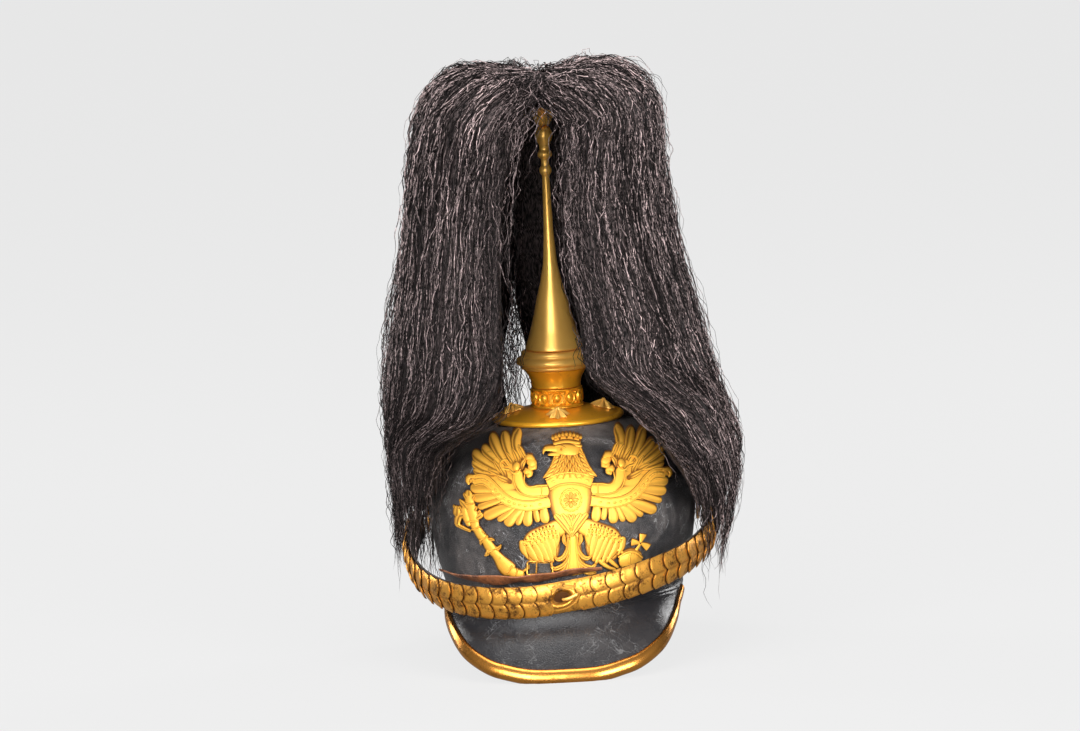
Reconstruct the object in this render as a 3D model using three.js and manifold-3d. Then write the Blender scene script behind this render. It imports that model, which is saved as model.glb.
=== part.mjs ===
// Leather parade helmet with a tall plume holder, a parted horsehair plume, an eagle plate
// and a loop of chin scales over the front peak.
//
// Units are millimetres and +Z is up. The front faces -Y, and left and right are as seen from
// the front, so right is +X. The helmet's own axis is the Z axis. The helmet rests on the
// plane z = 0 with the lowest stretches of the front peak's trim and of the neck guard.

import * as THREE from 'three';
import { mergeVertices } from 'three/addons/utils/BufferGeometryUtils.js';
import Module from 'manifold-3d';

const wasm = await Module();
wasm.setup();

// ---------------------------------------------------------------- driving dimensions

const CLEARANCE = 0.3;

const SHELL_WALL = 2.6;
const SHELL_SEGMENTS = 36;
const RIM_HEIGHT = 50;

const PEAK_WALL = 2.5;
const PEAK_BULGE = 3;
const PEAK_SIDE_SHIFT = -3.7;
const TRIM_SHEET = 1;
const TRIM_OUTER_LEAF = 9.5;
const TRIM_INNER_LEAF = 5.5;
const TRIM_END_TAPER = 0.6;
const TRIM_SHORTEST_PEAK = 9;

const STUD_RADIUS = 8.2;
const STUD_NOTCH_RADIUS = 6;
const STUD_HEIGHT = 4.2;
const STUD_RAYS = 8;
const STUD_CIRCLE_RADIUS = 30;

const MEDALLION_COUNT = 11;
const MEDALLION_WIDTH = 7;
const MEDALLION_HEIGHT = 9.6;

const PLATE_LOW_RELIEF = 1.5;
const PLATE_HIGH_RELIEF = 2.7;
const PLATE_STANDOFF = 0.45;

const STRAP_WIDTH = 22;
const LINING_WALL = 1.6;
const SCALE_SHEET = 0.8;
const SCALE_DOME = 2.2;
const SCALE_LOBE = 1.6;
const SCALE_OVERLAP = 3;
const FIRST_PITCH = 12.4;
const LAST_PITCH = 9.6;
const END_PLATE_LENGTH = 27;

const TIE_WIDTH = 8;
const TIE_WALL = 1.5;

// ---------------------------------------------------------------- tables

// Horizontal sections of the shell, an ellipse at each height.
const SHELL_SECTIONS = [
  { z: 50, halfWidth: 80, halfLength: 103 },
  { z: 60, halfWidth: 82.6, halfLength: 105 },
  { z: 75, halfWidth: 86, halfLength: 107 },
  { z: 92, halfWidth: 88.4, halfLength: 108 },
  { z: 105, halfWidth: 88.7, halfLength: 107 },
  { z: 118, halfWidth: 86.6, halfLength: 103.5 },
  { z: 130, halfWidth: 81, halfLength: 95.5 },
  { z: 140, halfWidth: 72.5, halfLength: 84 },
  { z: 148, halfWidth: 61, halfLength: 69.5 },
  { z: 154, halfWidth: 47, halfLength: 51.5 },
  { z: 158, halfWidth: 32, halfLength: 33.5 },
  { z: 160.2, halfWidth: 16, halfLength: 16 },
  { z: 161, halfWidth: 0, halfLength: 0 },
];

// Each row joins a place on the rim, by its angle from the middle, to the peak's free edge.
const FRONT_PEAK = [
  { rimAngle: 0, x: 0, y: 140, z: 0 },
  { rimAngle: 6, x: 14, y: 139.5, z: 0.1 },
  { rimAngle: 11, x: 25, y: 138, z: 0.8 },
  { rimAngle: 16, x: 37, y: 134.2, z: 3 },
  { rimAngle: 24, x: 52.5, y: 126.4, z: 7.4 },
  { rimAngle: 35, x: 67.4, y: 110.4, z: 16.6 },
  { rimAngle: 47, x: 75.6, y: 86, z: 28 },
  { rimAngle: 58, x: 78.6, y: 60, z: 37 },
  { rimAngle: 67, x: 79.6, y: 40, z: 44 },
  { rimAngle: 74, x: 79.4, y: 27, z: 48.4 },
];
const REAR_PEAK = [
  { rimAngle: 0, x: 0, y: 139, z: 0 },
  { rimAngle: 10, x: 22, y: 138, z: 0 },
  { rimAngle: 18, x: 38, y: 133.2, z: 0.2 },
  { rimAngle: 27, x: 52, y: 123.4, z: 6.2 },
  { rimAngle: 38, x: 65.5, y: 106, z: 17 },
  { rimAngle: 50, x: 75.5, y: 80, z: 29.5 },
  { rimAngle: 62, x: 80.2, y: 53, z: 40.5 },
  { rimAngle: 74, x: 79.4, y: 27, z: 48.4 },
];

// Upper side of the base plate, from its rolled edge to the middle.
const BASE_PLATE = [
  { r: 43.2, z: 156.8 },
  { r: 44.2, z: 158 },
  { r: 43.8, z: 159.6 },
  { r: 42.2, z: 160.2 },
  { r: 40.6, z: 159.7 },
  { r: 33, z: 162.2 },
  { r: 25, z: 164.2 },
  { r: 19, z: 165.2 },
  { r: 0, z: 165.2 },
];

const SPIKE_NECK = [
  { r: 0, z: 178.3 },
  { r: 16.6, z: 178.3 },
  { r: 16.4, z: 180.4 },
  { r: 17.2, z: 184 },
  { r: 19, z: 187.6 },
  { r: 21.4, z: 190.7 },
  { r: 0, z: 190.7 },
];
const SPIKE_COLLAR = [
  { r: 0, z: 191 },
  { r: 22.6, z: 191 },
  { r: 23.6, z: 192.2 },
  { r: 23.4, z: 193.4 },
  { r: 25.6, z: 194.2 },
  { r: 26.4, z: 196.2 },
  { r: 25.2, z: 198.4 },
  { r: 22.2, z: 199.8 },
  { r: 22.8, z: 201.4 },
  { r: 21.8, z: 203 },
  { r: 20, z: 203.4 },
  { r: 0, z: 203.4 },
];
const SPIKE_CONE = [
  { r: 0, z: 203.7 },
  { r: 19.8, z: 203.7 },
  { r: 18.4, z: 208 },
  { r: 15.3, z: 217 },
  { r: 12.6, z: 227.5 },
  { r: 10, z: 239 },
  { r: 6.9, z: 250 },
  { r: 4.8, z: 261 },
  { r: 3.2, z: 284 },
  { r: 2.4, z: 320 },
  { r: 4.1, z: 322 },
  { r: 4.1, z: 325 },
  { r: 2.7, z: 327 },
  { r: 2.7, z: 331.4 },
  { r: 5, z: 333 },
  { r: 5, z: 335.4 },
  { r: 3.1, z: 337.4 },
  { r: 3.6, z: 341 },
  { r: 6.1, z: 345.4 },
  { r: 5.6, z: 350 },
  { r: 3.2, z: 353.4 },
  { r: 0, z: 353.4 },
];
const PLUME_CUP = [
  { r: 0, z: 353.8 },
  { r: 4, z: 353.8 },
  { r: 5.7, z: 357 },
  { r: 7.4, z: 360.6 },
  { r: 11, z: 364 },
  { r: 15.2, z: 366.6 },
  { r: 15.2, z: 368 },
  { r: 13.8, z: 368 },
  { r: 9.8, z: 365.2 },
  { r: 5, z: 362.6 },
  { r: 0, z: 361.6 },
];

// The hair's outer and inner surface as half profiles, from the cup to the tips, with half of
// the front parting on each side in degrees. Below the fall height they follow PLUME_LOCKS.
const PLUME_FALL_HEIGHT = 170;
const PLUME_PROFILE = [
  { outR: 0, outZ: 391, inR: 0, inZ: 363, left: 2, right: 2 },
  { outR: 18, outZ: 393, inR: 9, inZ: 366.6, left: 2, right: 2 },
  { outR: 38, outZ: 397.5, inR: 16, inZ: 370, left: 2, right: 2 },
  { outR: 56, outZ: 395, inR: 30, inZ: 375, left: 3, right: 2.5 },
  { outR: 70, outZ: 385, inR: 46, inZ: 374, left: 6, right: 5 },
  { outR: 79, outZ: 368, inR: 57, inZ: 360, left: 12, right: 9 },
  { outR: 85, outZ: 345, inR: 65, inZ: 338, left: 17, right: 10 },
  { outR: 91, outZ: 312, inR: 69, inZ: 308, left: 19, right: 8 },
  { outR: 98, outZ: 272, inR: 73, inZ: 270, left: 18, right: 8 },
  { outR: 106, outZ: 230, inR: 79, inZ: 230, left: 17, right: 12 },
  { outR: 112, outZ: 198, inR: 88, inZ: 200, left: 19, right: 14 },
  { outR: 116, outZ: 170, inR: 98, inZ: 174, left: 28, right: 22 },
  { outR: 118.5, outZ: 145, inR: 104, inZ: 148, left: 42, right: 34 },
  { outR: 119.5, outZ: 120, inR: 108, inZ: 120, left: 48, right: 42 },
  { outR: 119, outZ: 96, inR: 109.5, inZ: 96, left: 51, right: 47 },
  { outR: 117, outZ: 72, inR: 111.5, inZ: 73, left: 54, right: 50 },
];

// How far the hair spreads and how low it hangs, by the angle from the front to the right.
const PLUME_LOCKS = [
  { angle: 45, spread: 8, hem: 90 },
  { angle: 65, spread: 7.5, hem: 64 },
  { angle: 90, spread: 5, hem: 66 },
  { angle: 135, spread: 3, hem: 74 },
  { angle: 180, spread: 2, hem: 70 },
  { angle: 225, spread: 0, hem: 76 },
  { angle: 265, spread: 1.2, hem: 74 },
  { angle: 290, spread: 1, hem: 80 },
  { angle: 310, spread: 0, hem: 98 },
];

// The eagle, in its own plane: x to the right and z up from the middle of its breast.
const EAGLE_CENTRE = { x: 5.2, z: 118.5 };
const EAGLE_ROLL = -1.5;

// Feathers of one wing, which the other mirrors.
const WING_FEATHERS = [
  { rootX: 34, rootZ: 22, tipX: 31.4, tipZ: 32.2, width: 6.2 },
  { rootX: 39.9, rootZ: 20, tipX: 39.3, tipZ: 30.4, width: 6.6 },
  { rootX: 43, rootZ: 19, tipX: 46.4, tipZ: 28.8, width: 6.8 },
  { rootX: 46, rootZ: 16, tipX: 52.1, tipZ: 24.8, width: 6.6 },
  { rootX: 48, rootZ: 14, tipX: 57, tipZ: 20.8, width: 6.4 },
  { rootX: 50, rootZ: 12, tipX: 60.2, tipZ: 16.6, width: 6.6 },
  { rootX: 50, rootZ: 2, tipX: 60.6, tipZ: 1.8, width: 6.2 },
  { rootX: 46, rootZ: -1, tipX: 59.8, tipZ: -4.2, width: 6.6 },
  { rootX: 43, rootZ: -4, tipX: 56.1, tipZ: -9.6, width: 5.6 },
  { rootX: 40, rootZ: -6, tipX: 52.5, tipZ: -14.4, width: 6.6 },
  { rootX: 37, rootZ: -8, tipX: 46, tipZ: -15.9, width: 5.4 },
  { rootX: 34, rootZ: -9, tipX: 40.3, tipZ: -17.4, width: 6.6 },
  { rootX: 31, rootZ: -10, tipX: 34, tipZ: -17.4, width: 5.2 },
  { rootX: 26.4, rootZ: -9, tipX: 28.4, tipZ: -16.6, width: 6.2 },
  { rootX: 22, rootZ: -9, tipX: 22.8, tipZ: -15.4, width: 5.2 },
  { rootX: 17, rootZ: -8, tipX: 17.4, tipZ: -14.4, width: 5.6 },
];
const WING_WEB = [
  { rootX: 32, rootZ: 19, tipX: 45, tipZ: 14, width: 14 },
  { rootX: 33, rootZ: 8, tipX: 50, tipZ: 8, width: 16 },
  { rootX: 22, rootZ: -4, tipX: 44, tipZ: -3, width: 14 },
];

// The raised parts of one wing: the arm, its knuckles and the ribbon, each a run of rows.
const WING_ARM = [
  { x: 33.4, z: 15, width: 7 },
  { x: 32.4, z: 8.4, width: 8 },
  { x: 27.4, z: 2.4, width: 8.6 },
  { x: 12, z: 1.6, width: 8.6 },
];
const WING_KNUCKLES = [
  { x: 24.8, z: 22.6, width: 4.4 },
  { x: 23.9, z: 18.8, width: 6.4 },
  { x: 27, z: 14.2, width: 5.4 },
];
const WING_RIBBON = [
  { x: 64, z: 5.4, width: 5.6 },
  { x: 59.5, z: 8.2, width: 6.4 },
  { x: 54.7, z: 8, width: 6.4 },
  { x: 44.8, z: -0.8, width: 6.4 },
  { x: 39.5, z: -5, width: 6.4 },
  { x: 32.6, z: -7, width: 6.4 },
  { x: 12, z: -4, width: 6.4 },
];

// Head, body, legs and tail as runs of rows.
const EAGLE_BODY = {
  crown: [
    { x: -7.6, z: 31.2, width: 4.4 },
    { x: 6.4, z: 30.6, width: 4.4 },
  ],
  crownTop: [
    { x: -1.6, z: 30, width: 7 },
    { x: -1.6, z: 33.4, width: 3.4 },
  ],
  skull: [
    { x: -8, z: 26.2, width: 5 },
    { x: -1, z: 25.4, width: 10.6 },
    { x: 3, z: 25, width: 9 },
  ],
  beak: [
    { x: -8, z: 26.2, width: 5 },
    { x: -14.6, z: 27, width: 3.4 },
    { x: -16.2, z: 25.2, width: 1.6 },
  ],
  neck: [
    { x: 1.6, z: 24, width: 13 },
    { x: 0.4, z: 12, width: 27 },
  ],
  breast: [
    { x: 0, z: 4, width: 31 },
    { x: 0, z: -6, width: 28 },
    { x: 0, z: -16, width: 22 },
    { x: 0, z: -22, width: 10 },
  ],
  tail: [
    { x: 0, z: -22, width: 8 },
    { x: 0, z: -36, width: 7 },
    { x: 0, z: -50, width: 10 },
  ],
};
const EAGLE_LEG = {
  thigh: [
    { x: 7, z: -18, width: 9 },
    { x: 22, z: -24.4, width: 12 },
    { x: 27.4, z: -31.4, width: 7 },
  ],
  shank: [
    { x: 18, z: -28, width: 16 },
    { x: 21, z: -38.6, width: 11 },
  ],
  inner: [
    { x: 14.6, z: -26, width: 9 },
    { x: 14.6, z: -43, width: 7 },
  ],
  claw: [
    { x: 27, z: -33, width: 5 },
    { x: 31.2, z: -40.4, width: 4.4 },
  ],
  foot: [
    { x: 18, z: -41, width: 5.6 },
    { x: 28.8, z: -50.2, width: 5.2 },
  ],
  frond: [
    { x: 2, z: -30, width: 4 },
    { x: 5.4, z: -39.4, width: 4.2 },
    { x: 11.4, z: -41.6, width: 4.4 },
  ],
  lowFrond: [
    { x: 3.4, z: -40, width: 4.4 },
    { x: 9.4, z: -49.6, width: 4.6 },
  ],
};
const SCEPTRE = {
  head: [
    { x: -69.4, z: -5.4, width: 6.4 },
    { x: -68.4, z: -15, width: 7 },
  ],
  leaves: [
    { x: -75.2, z: -12.6, width: 5.6 },
    { x: -68.6, z: -10.8, width: 7 },
    { x: -60.8, z: -9.6, width: 4.6 },
  ],
  shaft: [
    { x: -67, z: -16, width: 5 },
    { x: -61.5, z: -25, width: 6 },
    { x: -56, z: -34, width: 6.4 },
    { x: -50.4, z: -41, width: 7 },
    { x: -46, z: -46, width: 11.6 },
    { x: -40, z: -50.4, width: 6 },
    { x: -33.6, z: -52.2, width: 5.8 },
  ],
};
const ORB = {
  ball: [
    { x: 38, z: -46, width: 16.6 },
    { x: 38.2, z: -46.2, width: 16.6 },
  ],
  stem: [
    { x: 40.6, z: -42, width: 3 },
    { x: 47, z: -36, width: 3 },
  ],
  crossUp: [
    { x: 48.6, z: -32.6, width: 4 },
    { x: 45.6, z: -40.6, width: 4 },
  ],
  crossSide: [
    { x: 43, z: -35, width: 4 },
    { x: 51, z: -38.4, width: 4 },
  ],
};

// Middle line of the chin strap's inner face from the left post to the right one, and how far
// the strap's upper edge leans out.
const STRAP_PATH = [
  { x: -93.3, y: 8, z: 92, lean: 1 },
  { x: -99, y: -12, z: 82, lean: 8 },
  { x: -100, y: -35, z: 72, lean: 13 },
  { x: -93, y: -65, z: 62, lean: 15 },
  { x: -78, y: -92, z: 56, lean: 15 },
  { x: -55, y: -111, z: 53, lean: 13 },
  { x: -28, y: -121, z: 53, lean: 10 },
  { x: 0, y: -123.5, z: 56, lean: 8 },
  { x: 28, y: -120, z: 60, lean: 7 },
  { x: 52, y: -110, z: 65, lean: 7 },
  { x: 72, y: -94, z: 70, lean: 7 },
  { x: 86, y: -70, z: 75, lean: 7 },
  { x: 94, y: -42, z: 80, lean: 6 },
  { x: 95, y: -16, z: 86, lean: 4 },
  { x: 93.3, y: 8, z: 92, lean: 1 },
];
const LEFT_SCALES = 17;
const RIGHT_SCALES = 16;

// Middle line of the narrow tie strap and the slope of its width, outer edge up.
const TIE_PATH = [
  { x: -83, y: -58, z: 66, slope: 10 },
  { x: -70, y: -80, z: 64.5, slope: 25 },
  { x: -51, y: -97.6, z: 64, slope: 50 },
  { x: -33, y: -107.2, z: 64.5, slope: 20 },
  { x: -14, y: -112.7, z: 66.5, slope: 8 },
  { x: 6, y: -114.2, z: 69, slope: 20 },
  { x: 24, y: -111.6, z: 70, slope: 35 },
];

const MATERIALS = {
  leather: { color: 0x3b393a, roughness: 0.6, metalness: 0 },
  polishedBrass: { color: 0xd9a441, roughness: 0.25, metalness: 1 },
  darkBrass: { color: 0xc08a2c, roughness: 0.35, metalness: 1 },
  gilt: { color: 0xe8b53a, roughness: 0.4, metalness: 1 },
  oldBrass: { color: 0xa98244, roughness: 0.45, metalness: 1 },
  hair: { color: 0x1d1a1b, roughness: 0.7, metalness: 0 },
  strapLeather: { color: 0x4a3a30, roughness: 0.8, metalness: 0 },
  brownLeather: { color: 0x7a4526, roughness: 0.65, metalness: 0 },
};

// ---------------------------------------------------------------- helpers

const radians = THREE.MathUtils.degToRad;

function vector(x, y, z) {
  return new THREE.Vector3(x, y, z);
}

// Value of a table's column where its key column reaches the given value.
function readTable(rows, key, column, value) {
  const next = rows.findIndex((row, i) => i > 0 && value <= row[key]);
  const upper = next < 0 ? rows.length - 1 : next;
  const a = rows[upper - 1];
  const b = rows[upper];
  const t = THREE.MathUtils.clamp((value - a[key]) / (b[key] - a[key]), 0, 1);
  return THREE.MathUtils.lerp(a[column], b[column], t);
}

// The same, along a smooth curve through the rows.
function readSmooth(rows, key, column, value) {
  const keys = rows.map((row) => row[key]);
  const values = rows.map((row) => row[column]);
  return new THREE.CubicInterpolant(keys, values, 1, [0]).evaluate(value)[0];
}

function signedVolume(positions, index) {
  const corners = [vector(), vector(), vector()];
  let sum = 0;
  for (let i = 0; i < index.length; i += 3) {
    corners.forEach((corner, k) => corner.fromArray(positions, index[i + k] * 3));
    sum += corners[0].dot(corners[1].cross(corners[2])) / 6;
  }
  return sum;
}

// One closed body: shared vertices merged, collapsed triangles dropped, faces turned outward.
function closedBody(geometry) {
  const bare = new THREE.BufferGeometry();
  bare.setAttribute('position', geometry.getAttribute('position').clone());
  bare.setIndex(geometry.getIndex());
  const merged = mergeVertices(bare, 1e-3);
  const source = merged.getIndex().array;
  const index = [];
  for (let i = 0; i < source.length; i += 3) {
    const [a, b, c] = [source[i], source[i + 1], source[i + 2]];
    if (a !== b && b !== c && c !== a) {
      index.push(a, b, c);
    }
  }
  if (signedVolume(merged.getAttribute('position').array, index) < 0) {
    index.reverse();
  }
  merged.setIndex(index);
  merged.computeVertexNormals();
  return merged;
}

// A sheet between two grids of points. The rows may close on themselves.
function sheetBody(outer, inner, closed = false) {
  const rows = outer.length;
  const columns = outer[0].length;
  const last = columns - 1;
  const index = [];
  const at = (side, i, j) => side * rows * columns + (i % rows) * columns + j;
  const quad = (a, b, c, d) => index.push(a, b, c, a, c, d);
  const spans = closed ? rows : rows - 1;
  for (let i = 0; i < spans; i += 1) {
    for (let j = 0; j < last; j += 1) {
      quad(at(0, i, j), at(0, i + 1, j), at(0, i + 1, j + 1), at(0, i, j + 1));
      quad(at(1, i, j), at(1, i, j + 1), at(1, i + 1, j + 1), at(1, i + 1, j));
    }
    quad(at(0, i, 0), at(1, i, 0), at(1, i + 1, 0), at(0, i + 1, 0));
    quad(at(0, i, last), at(0, i + 1, last), at(1, i + 1, last), at(1, i, last));
  }
  if (!closed) {
    for (let j = 0; j < last; j += 1) {
      const end = rows - 1;
      quad(at(0, 0, j), at(0, 0, j + 1), at(1, 0, j + 1), at(1, 0, j));
      quad(at(0, end, j), at(1, end, j), at(1, end, j + 1), at(0, end, j + 1));
    }
  }
  const points = [...outer.flat(), ...inner.flat()];
  const geometry = new THREE.BufferGeometry().setFromPoints(points);
  geometry.setIndex(index);
  return closedBody(geometry);
}

// A turned piece from a half profile that starts and ends on the axis.
function turnedBody(profile, segments) {
  const points = profile.map((row) => new THREE.Vector2(row.r, row.z));
  return closedBody(new THREE.LatheGeometry(points, segments).rotateX(Math.PI / 2));
}

function toManifold(geometry) {
  const body = closedBody(geometry);
  const vertProperties = Float32Array.from(body.getAttribute('position').array);
  const triVerts = Uint32Array.from(body.getIndex().array);
  return new wasm.Manifold(new wasm.Mesh({ numProp: 3, vertProperties, triVerts }));
}

function fromManifold(solid) {
  const mesh = solid.getMesh();
  const geometry = new THREE.BufferGeometry();
  const positions = Float32Array.from(mesh.vertProperties);
  geometry.setAttribute('position', new THREE.BufferAttribute(positions, 3));
  geometry.setIndex([...mesh.triVerts]);
  geometry.computeVertexNormals();
  return geometry;
}

const helmet = new THREE.Group();

function addPiece(name, geometry, look) {
  const mesh = new THREE.Mesh(geometry, new THREE.MeshStandardMaterial(MATERIALS[look]));
  mesh.name = name;
  helmet.add(mesh);
  return mesh;
}

// ---------------------------------------------------------------- shell

// A point of the shell moved out along its normal. The angle runs from the front to the right.
function shellPoint(sectionIndex, angle, offset) {
  const section = SHELL_SECTIONS[sectionIndex];
  if (section.halfWidth === 0) {
    return vector(0, 0, section.z + offset);
  }
  const below = SHELL_SECTIONS[Math.max(sectionIndex - 1, 0)];
  const above = SHELL_SECTIONS[sectionIndex + 1];
  const rise = above.z - below.z;
  const widthSlope = (above.halfWidth - below.halfWidth) / rise;
  const lengthSlope = (above.halfLength - below.halfLength) / rise;
  const { halfWidth, halfLength, z } = section;
  const [sine, cosine] = [Math.sin(angle), Math.cos(angle)];
  const round = vector(halfWidth * cosine, halfLength * sine, 0);
  const upward = vector(widthSlope * sine, -lengthSlope * cosine, 1);
  const normal = round.cross(upward).normalize();
  return vector(halfWidth * sine, -halfLength * cosine, z).addScaledVector(normal, offset);
}

function shellGrid(angles, firstSection, lastSection, offset) {
  const count = lastSection - firstSection + 1;
  return angles.map((angle) =>
    Array.from({ length: count }, (_, j) => shellPoint(firstSection + j, angle, offset)),
  );
}

const shellAngles = Array.from(
  { length: SHELL_SEGMENTS },
  (_, i) => (i / SHELL_SEGMENTS) * 2 * Math.PI,
);
const shellOuter = shellGrid(shellAngles, 0, SHELL_SECTIONS.length - 1, 0);
const shellInner = shellGrid(shellAngles, 0, SHELL_SECTIONS.length - 1, -SHELL_WALL);
shellInner.forEach((column) => column[0].setZ(RIM_HEIGHT));
addPiece('shell', sheetBody(shellOuter, shellInner, true), 'leather');

// Height of the shell's outer surface over a point of the plan.
function shellHeight(x, y) {
  let low = RIM_HEIGHT;
  let high = SHELL_SECTIONS.at(-1).z;
  for (let step = 0; step < 30; step += 1) {
    const z = (low + high) / 2;
    const a = Math.max(readTable(SHELL_SECTIONS, 'z', 'halfWidth', z), 1e-6);
    const b = Math.max(readTable(SHELL_SECTIONS, 'z', 'halfLength', z), 1e-6);
    const inside = z < 100 || (x / a) ** 2 + (y / b) ** 2 < 1;
    low = inside ? z : low;
    high = inside ? high : z;
  }
  return low;
}

// ---------------------------------------------------------------- front peak, trim, neck guard

const RIM = SHELL_SECTIONS[0];
const PEAK_STEPS = 4;
const PEAK_COLUMNS = 29;

// One station across a peak: points from the rim to the free edge, and the sheet's normal.
// facing is -1 for the front peak and +1 for the rear one.
function peakStation(table, facing, across) {
  const rowNumber = Math.abs(across) * (table.length - 1);
  const rows = table.map((row, i) => ({ ...row, i }));
  const read = (column) => readSmooth(rows, 'i', column, rowNumber);
  const angle = radians(read('rimAngle'));
  const side = Math.sign(across);
  const rimX = side * RIM.halfWidth * Math.sin(angle);
  const rimY = facing * RIM.halfLength * Math.cos(angle);
  const rim = vector(rimX, rimY, RIM_HEIGHT - CLEARANCE);
  const edge = vector(side * read('x'), facing * read('y'), read('z'));
  const shift = facing < 0 ? PEAK_SIDE_SHIFT : 0;
  edge.x += shift * Math.min(1, edge.distanceTo(rim) / 20);
  const fall = edge.clone().sub(rim);
  const outward = vector(side * Math.sin(angle), facing * Math.cos(angle), 0);
  const along = vector(-outward.y, outward.x, 0);
  const normal = fall.clone().cross(along).normalize();
  normal.multiplyScalar(Math.sign(normal.z) || 1);
  const bulge = PEAK_BULGE * Math.min(1, fall.length() / 40);
  const points = Array.from({ length: PEAK_STEPS + 1 }, (_, k) => {
    const t = k / PEAK_STEPS;
    const point = rim.clone().addScaledVector(fall, t);
    return point.addScaledVector(normal, 4 * bulge * t * (1 - t));
  });
  return { points, normal, drop: fall.length() };
}

function peakStations(table, facing) {
  return Array.from({ length: PEAK_COLUMNS }, (_, i) =>
    peakStation(table, facing, (2 * i) / (PEAK_COLUMNS - 1) - 1),
  );
}

function keptAbove(point, level) {
  return point.setZ(Math.max(point.z, level));
}

function peakSheet(stations, setBack, level) {
  const outer = stations.map(({ points }) => {
    const line = points.map((point) => point.clone());
    const end = line.at(-1);
    const last = end.clone().sub(line.at(-2)).normalize();
    end.addScaledVector(last, -setBack);
    keptAbove(end, level);
    return line;
  });
  const inner = outer.map((line, i) =>
    line.map((point, k) => {
      const under = point.clone().addScaledVector(stations[i].normal, -PEAK_WALL);
      return k === 0 ? under.setZ(point.z) : keptAbove(under, level);
    }),
  );
  return sheetBody(outer, inner);
}

const frontStations = peakStations(FRONT_PEAK, -1);
const trimFloor = TRIM_SHEET + CLEARANCE;
addPiece('front_visor', peakSheet(frontStations, trimFloor, trimFloor), 'leather');
addPiece('neck_guard', peakSheet(peakStations(REAR_PEAK, 1), 0, 0), 'leather');

// The trim's folded section: distance back from the edge, and height over the peak's surface.
// The upper leaf swells off the leather to a rounded moulding.
const TRIM_SECTION = [
  { outBack: TRIM_OUTER_LEAF, inBack: TRIM_OUTER_LEAF, swell: 0 },
  { outBack: 7.6, inBack: 7.4, swell: 0.85 },
  { outBack: 4.9, inBack: 4.9, swell: 1.2 },
  { outBack: 2.2, inBack: 2.6, swell: 0.85 },
  { outBack: 0.6, inBack: 1.6, swell: 0 },
  { outBack: 0, inBack: TRIM_SHEET, swell: -0.9 },
  { outBack: 0, inBack: TRIM_SHEET, swell: -0.9, under: true },
  { outBack: 1, inBack: 1.8, swell: 0, under: true },
  { outBack: TRIM_INNER_LEAF, inBack: TRIM_INNER_LEAF, swell: 0, under: true },
];

// The trim narrows towards the sides and ends where the peak runs out.
function trimBody(peak) {
  const stations = peak.filter((station) => station.drop > TRIM_SHORTEST_PEAK);
  const leaf = (station, back, row, sheet) => {
    const edge = station.points.at(-1);
    const fall = edge.clone().sub(station.points.at(-2)).normalize();
    const taper = THREE.MathUtils.mapLinear(station.drop, 10, 45, TRIM_END_TAPER, 1);
    const narrow = Math.min(taper, 1);
    const width = back > 2 ? back * narrow : back;
    const swell = row.swell > 0 ? row.swell * narrow : row.swell * sheet;
    const over = CLEARANCE + sheet + swell;
    const rise = row.under ? -PEAK_WALL - over : over;
    const point = edge.clone().addScaledVector(fall, -width);
    point.addScaledVector(station.normal, rise);
    return keptAbove(point, TRIM_SHEET - sheet);
  };
  const surface = (side, sheet) =>
    stations.map((station) => TRIM_SECTION.map((row) => leaf(station, row[side], row, sheet)));
  return sheetBody(surface('outBack', TRIM_SHEET), surface('inBack', 0));
}

addPiece('visor_trim', trimBody(frontStations), 'polishedBrass');

// ---------------------------------------------------------------- base plate and studs

const PLATE_SEGMENTS = 36;

function basePlateBody() {
  const seats = BASE_PLATE.map((row) => Math.min(row.r, 42.4));
  const angles = Array.from({ length: PLATE_SEGMENTS }, (_, i) => (i / PLATE_SEGMENTS) * 2);
  const turn = (r, angle, z) =>
    vector(r * Math.sin(angle * Math.PI), -r * Math.cos(angle * Math.PI), z);
  const outer = angles.map((angle) => BASE_PLATE.map((row) => turn(row.r, angle, row.z)));
  const inner = angles.map((angle) =>
    seats.map((r, k) => {
      const radius = k < 5 ? 42.4 - k * 0.8 : r;
      const foot = turn(radius, angle, 0);
      return foot.setZ(shellHeight(foot.x, foot.y) + 0.5);
    }),
  );
  return sheetBody(outer, inner, true);
}

addPiece('base_plate', basePlateBody(), 'polishedBrass');

function starBody() {
  const rim = Array.from({ length: STUD_RAYS * 2 }, (_, i) => {
    const r = i % 2 === 0 ? STUD_RADIUS : STUD_NOTCH_RADIUS;
    const angle = (i / STUD_RAYS) * Math.PI;
    return vector(r * Math.cos(angle), r * Math.sin(angle), 0);
  });
  const peak = rim.map(() => vector(0, 0, STUD_HEIGHT));
  const centre = rim.map(() => vector(0, 0, 0));
  const outer = rim.map((point, i) => [point, peak[i]]);
  const inner = rim.map((point, i) => [point.clone(), centre[i]]);
  return sheetBody(outer, inner, true);
}

const studHeight = readTable([...BASE_PLATE].reverse(), 'r', 'z', STUD_CIRCLE_RADIUS);
const studSlope = Math.atan2(164.2 - 162.2, 33 - 25);
const STUDS = [
  { name: 'star_stud_front', turn: -90 },
  { name: 'star_stud_right', turn: 0 },
  { name: 'star_stud_back', turn: 90 },
  { name: 'star_stud_left', turn: 180 },
];
for (const stud of STUDS) {
  const seat = new THREE.Group();
  seat.rotation.z = radians(stud.turn);
  helmet.add(seat);
  const mesh = addPiece(stud.name, starBody(), 'polishedBrass');
  mesh.position.set(STUD_CIRCLE_RADIUS, 0, studHeight + 0.45);
  mesh.rotation.y = studSlope;
  seat.add(mesh);
}

// ---------------------------------------------------------------- plume holder

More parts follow.
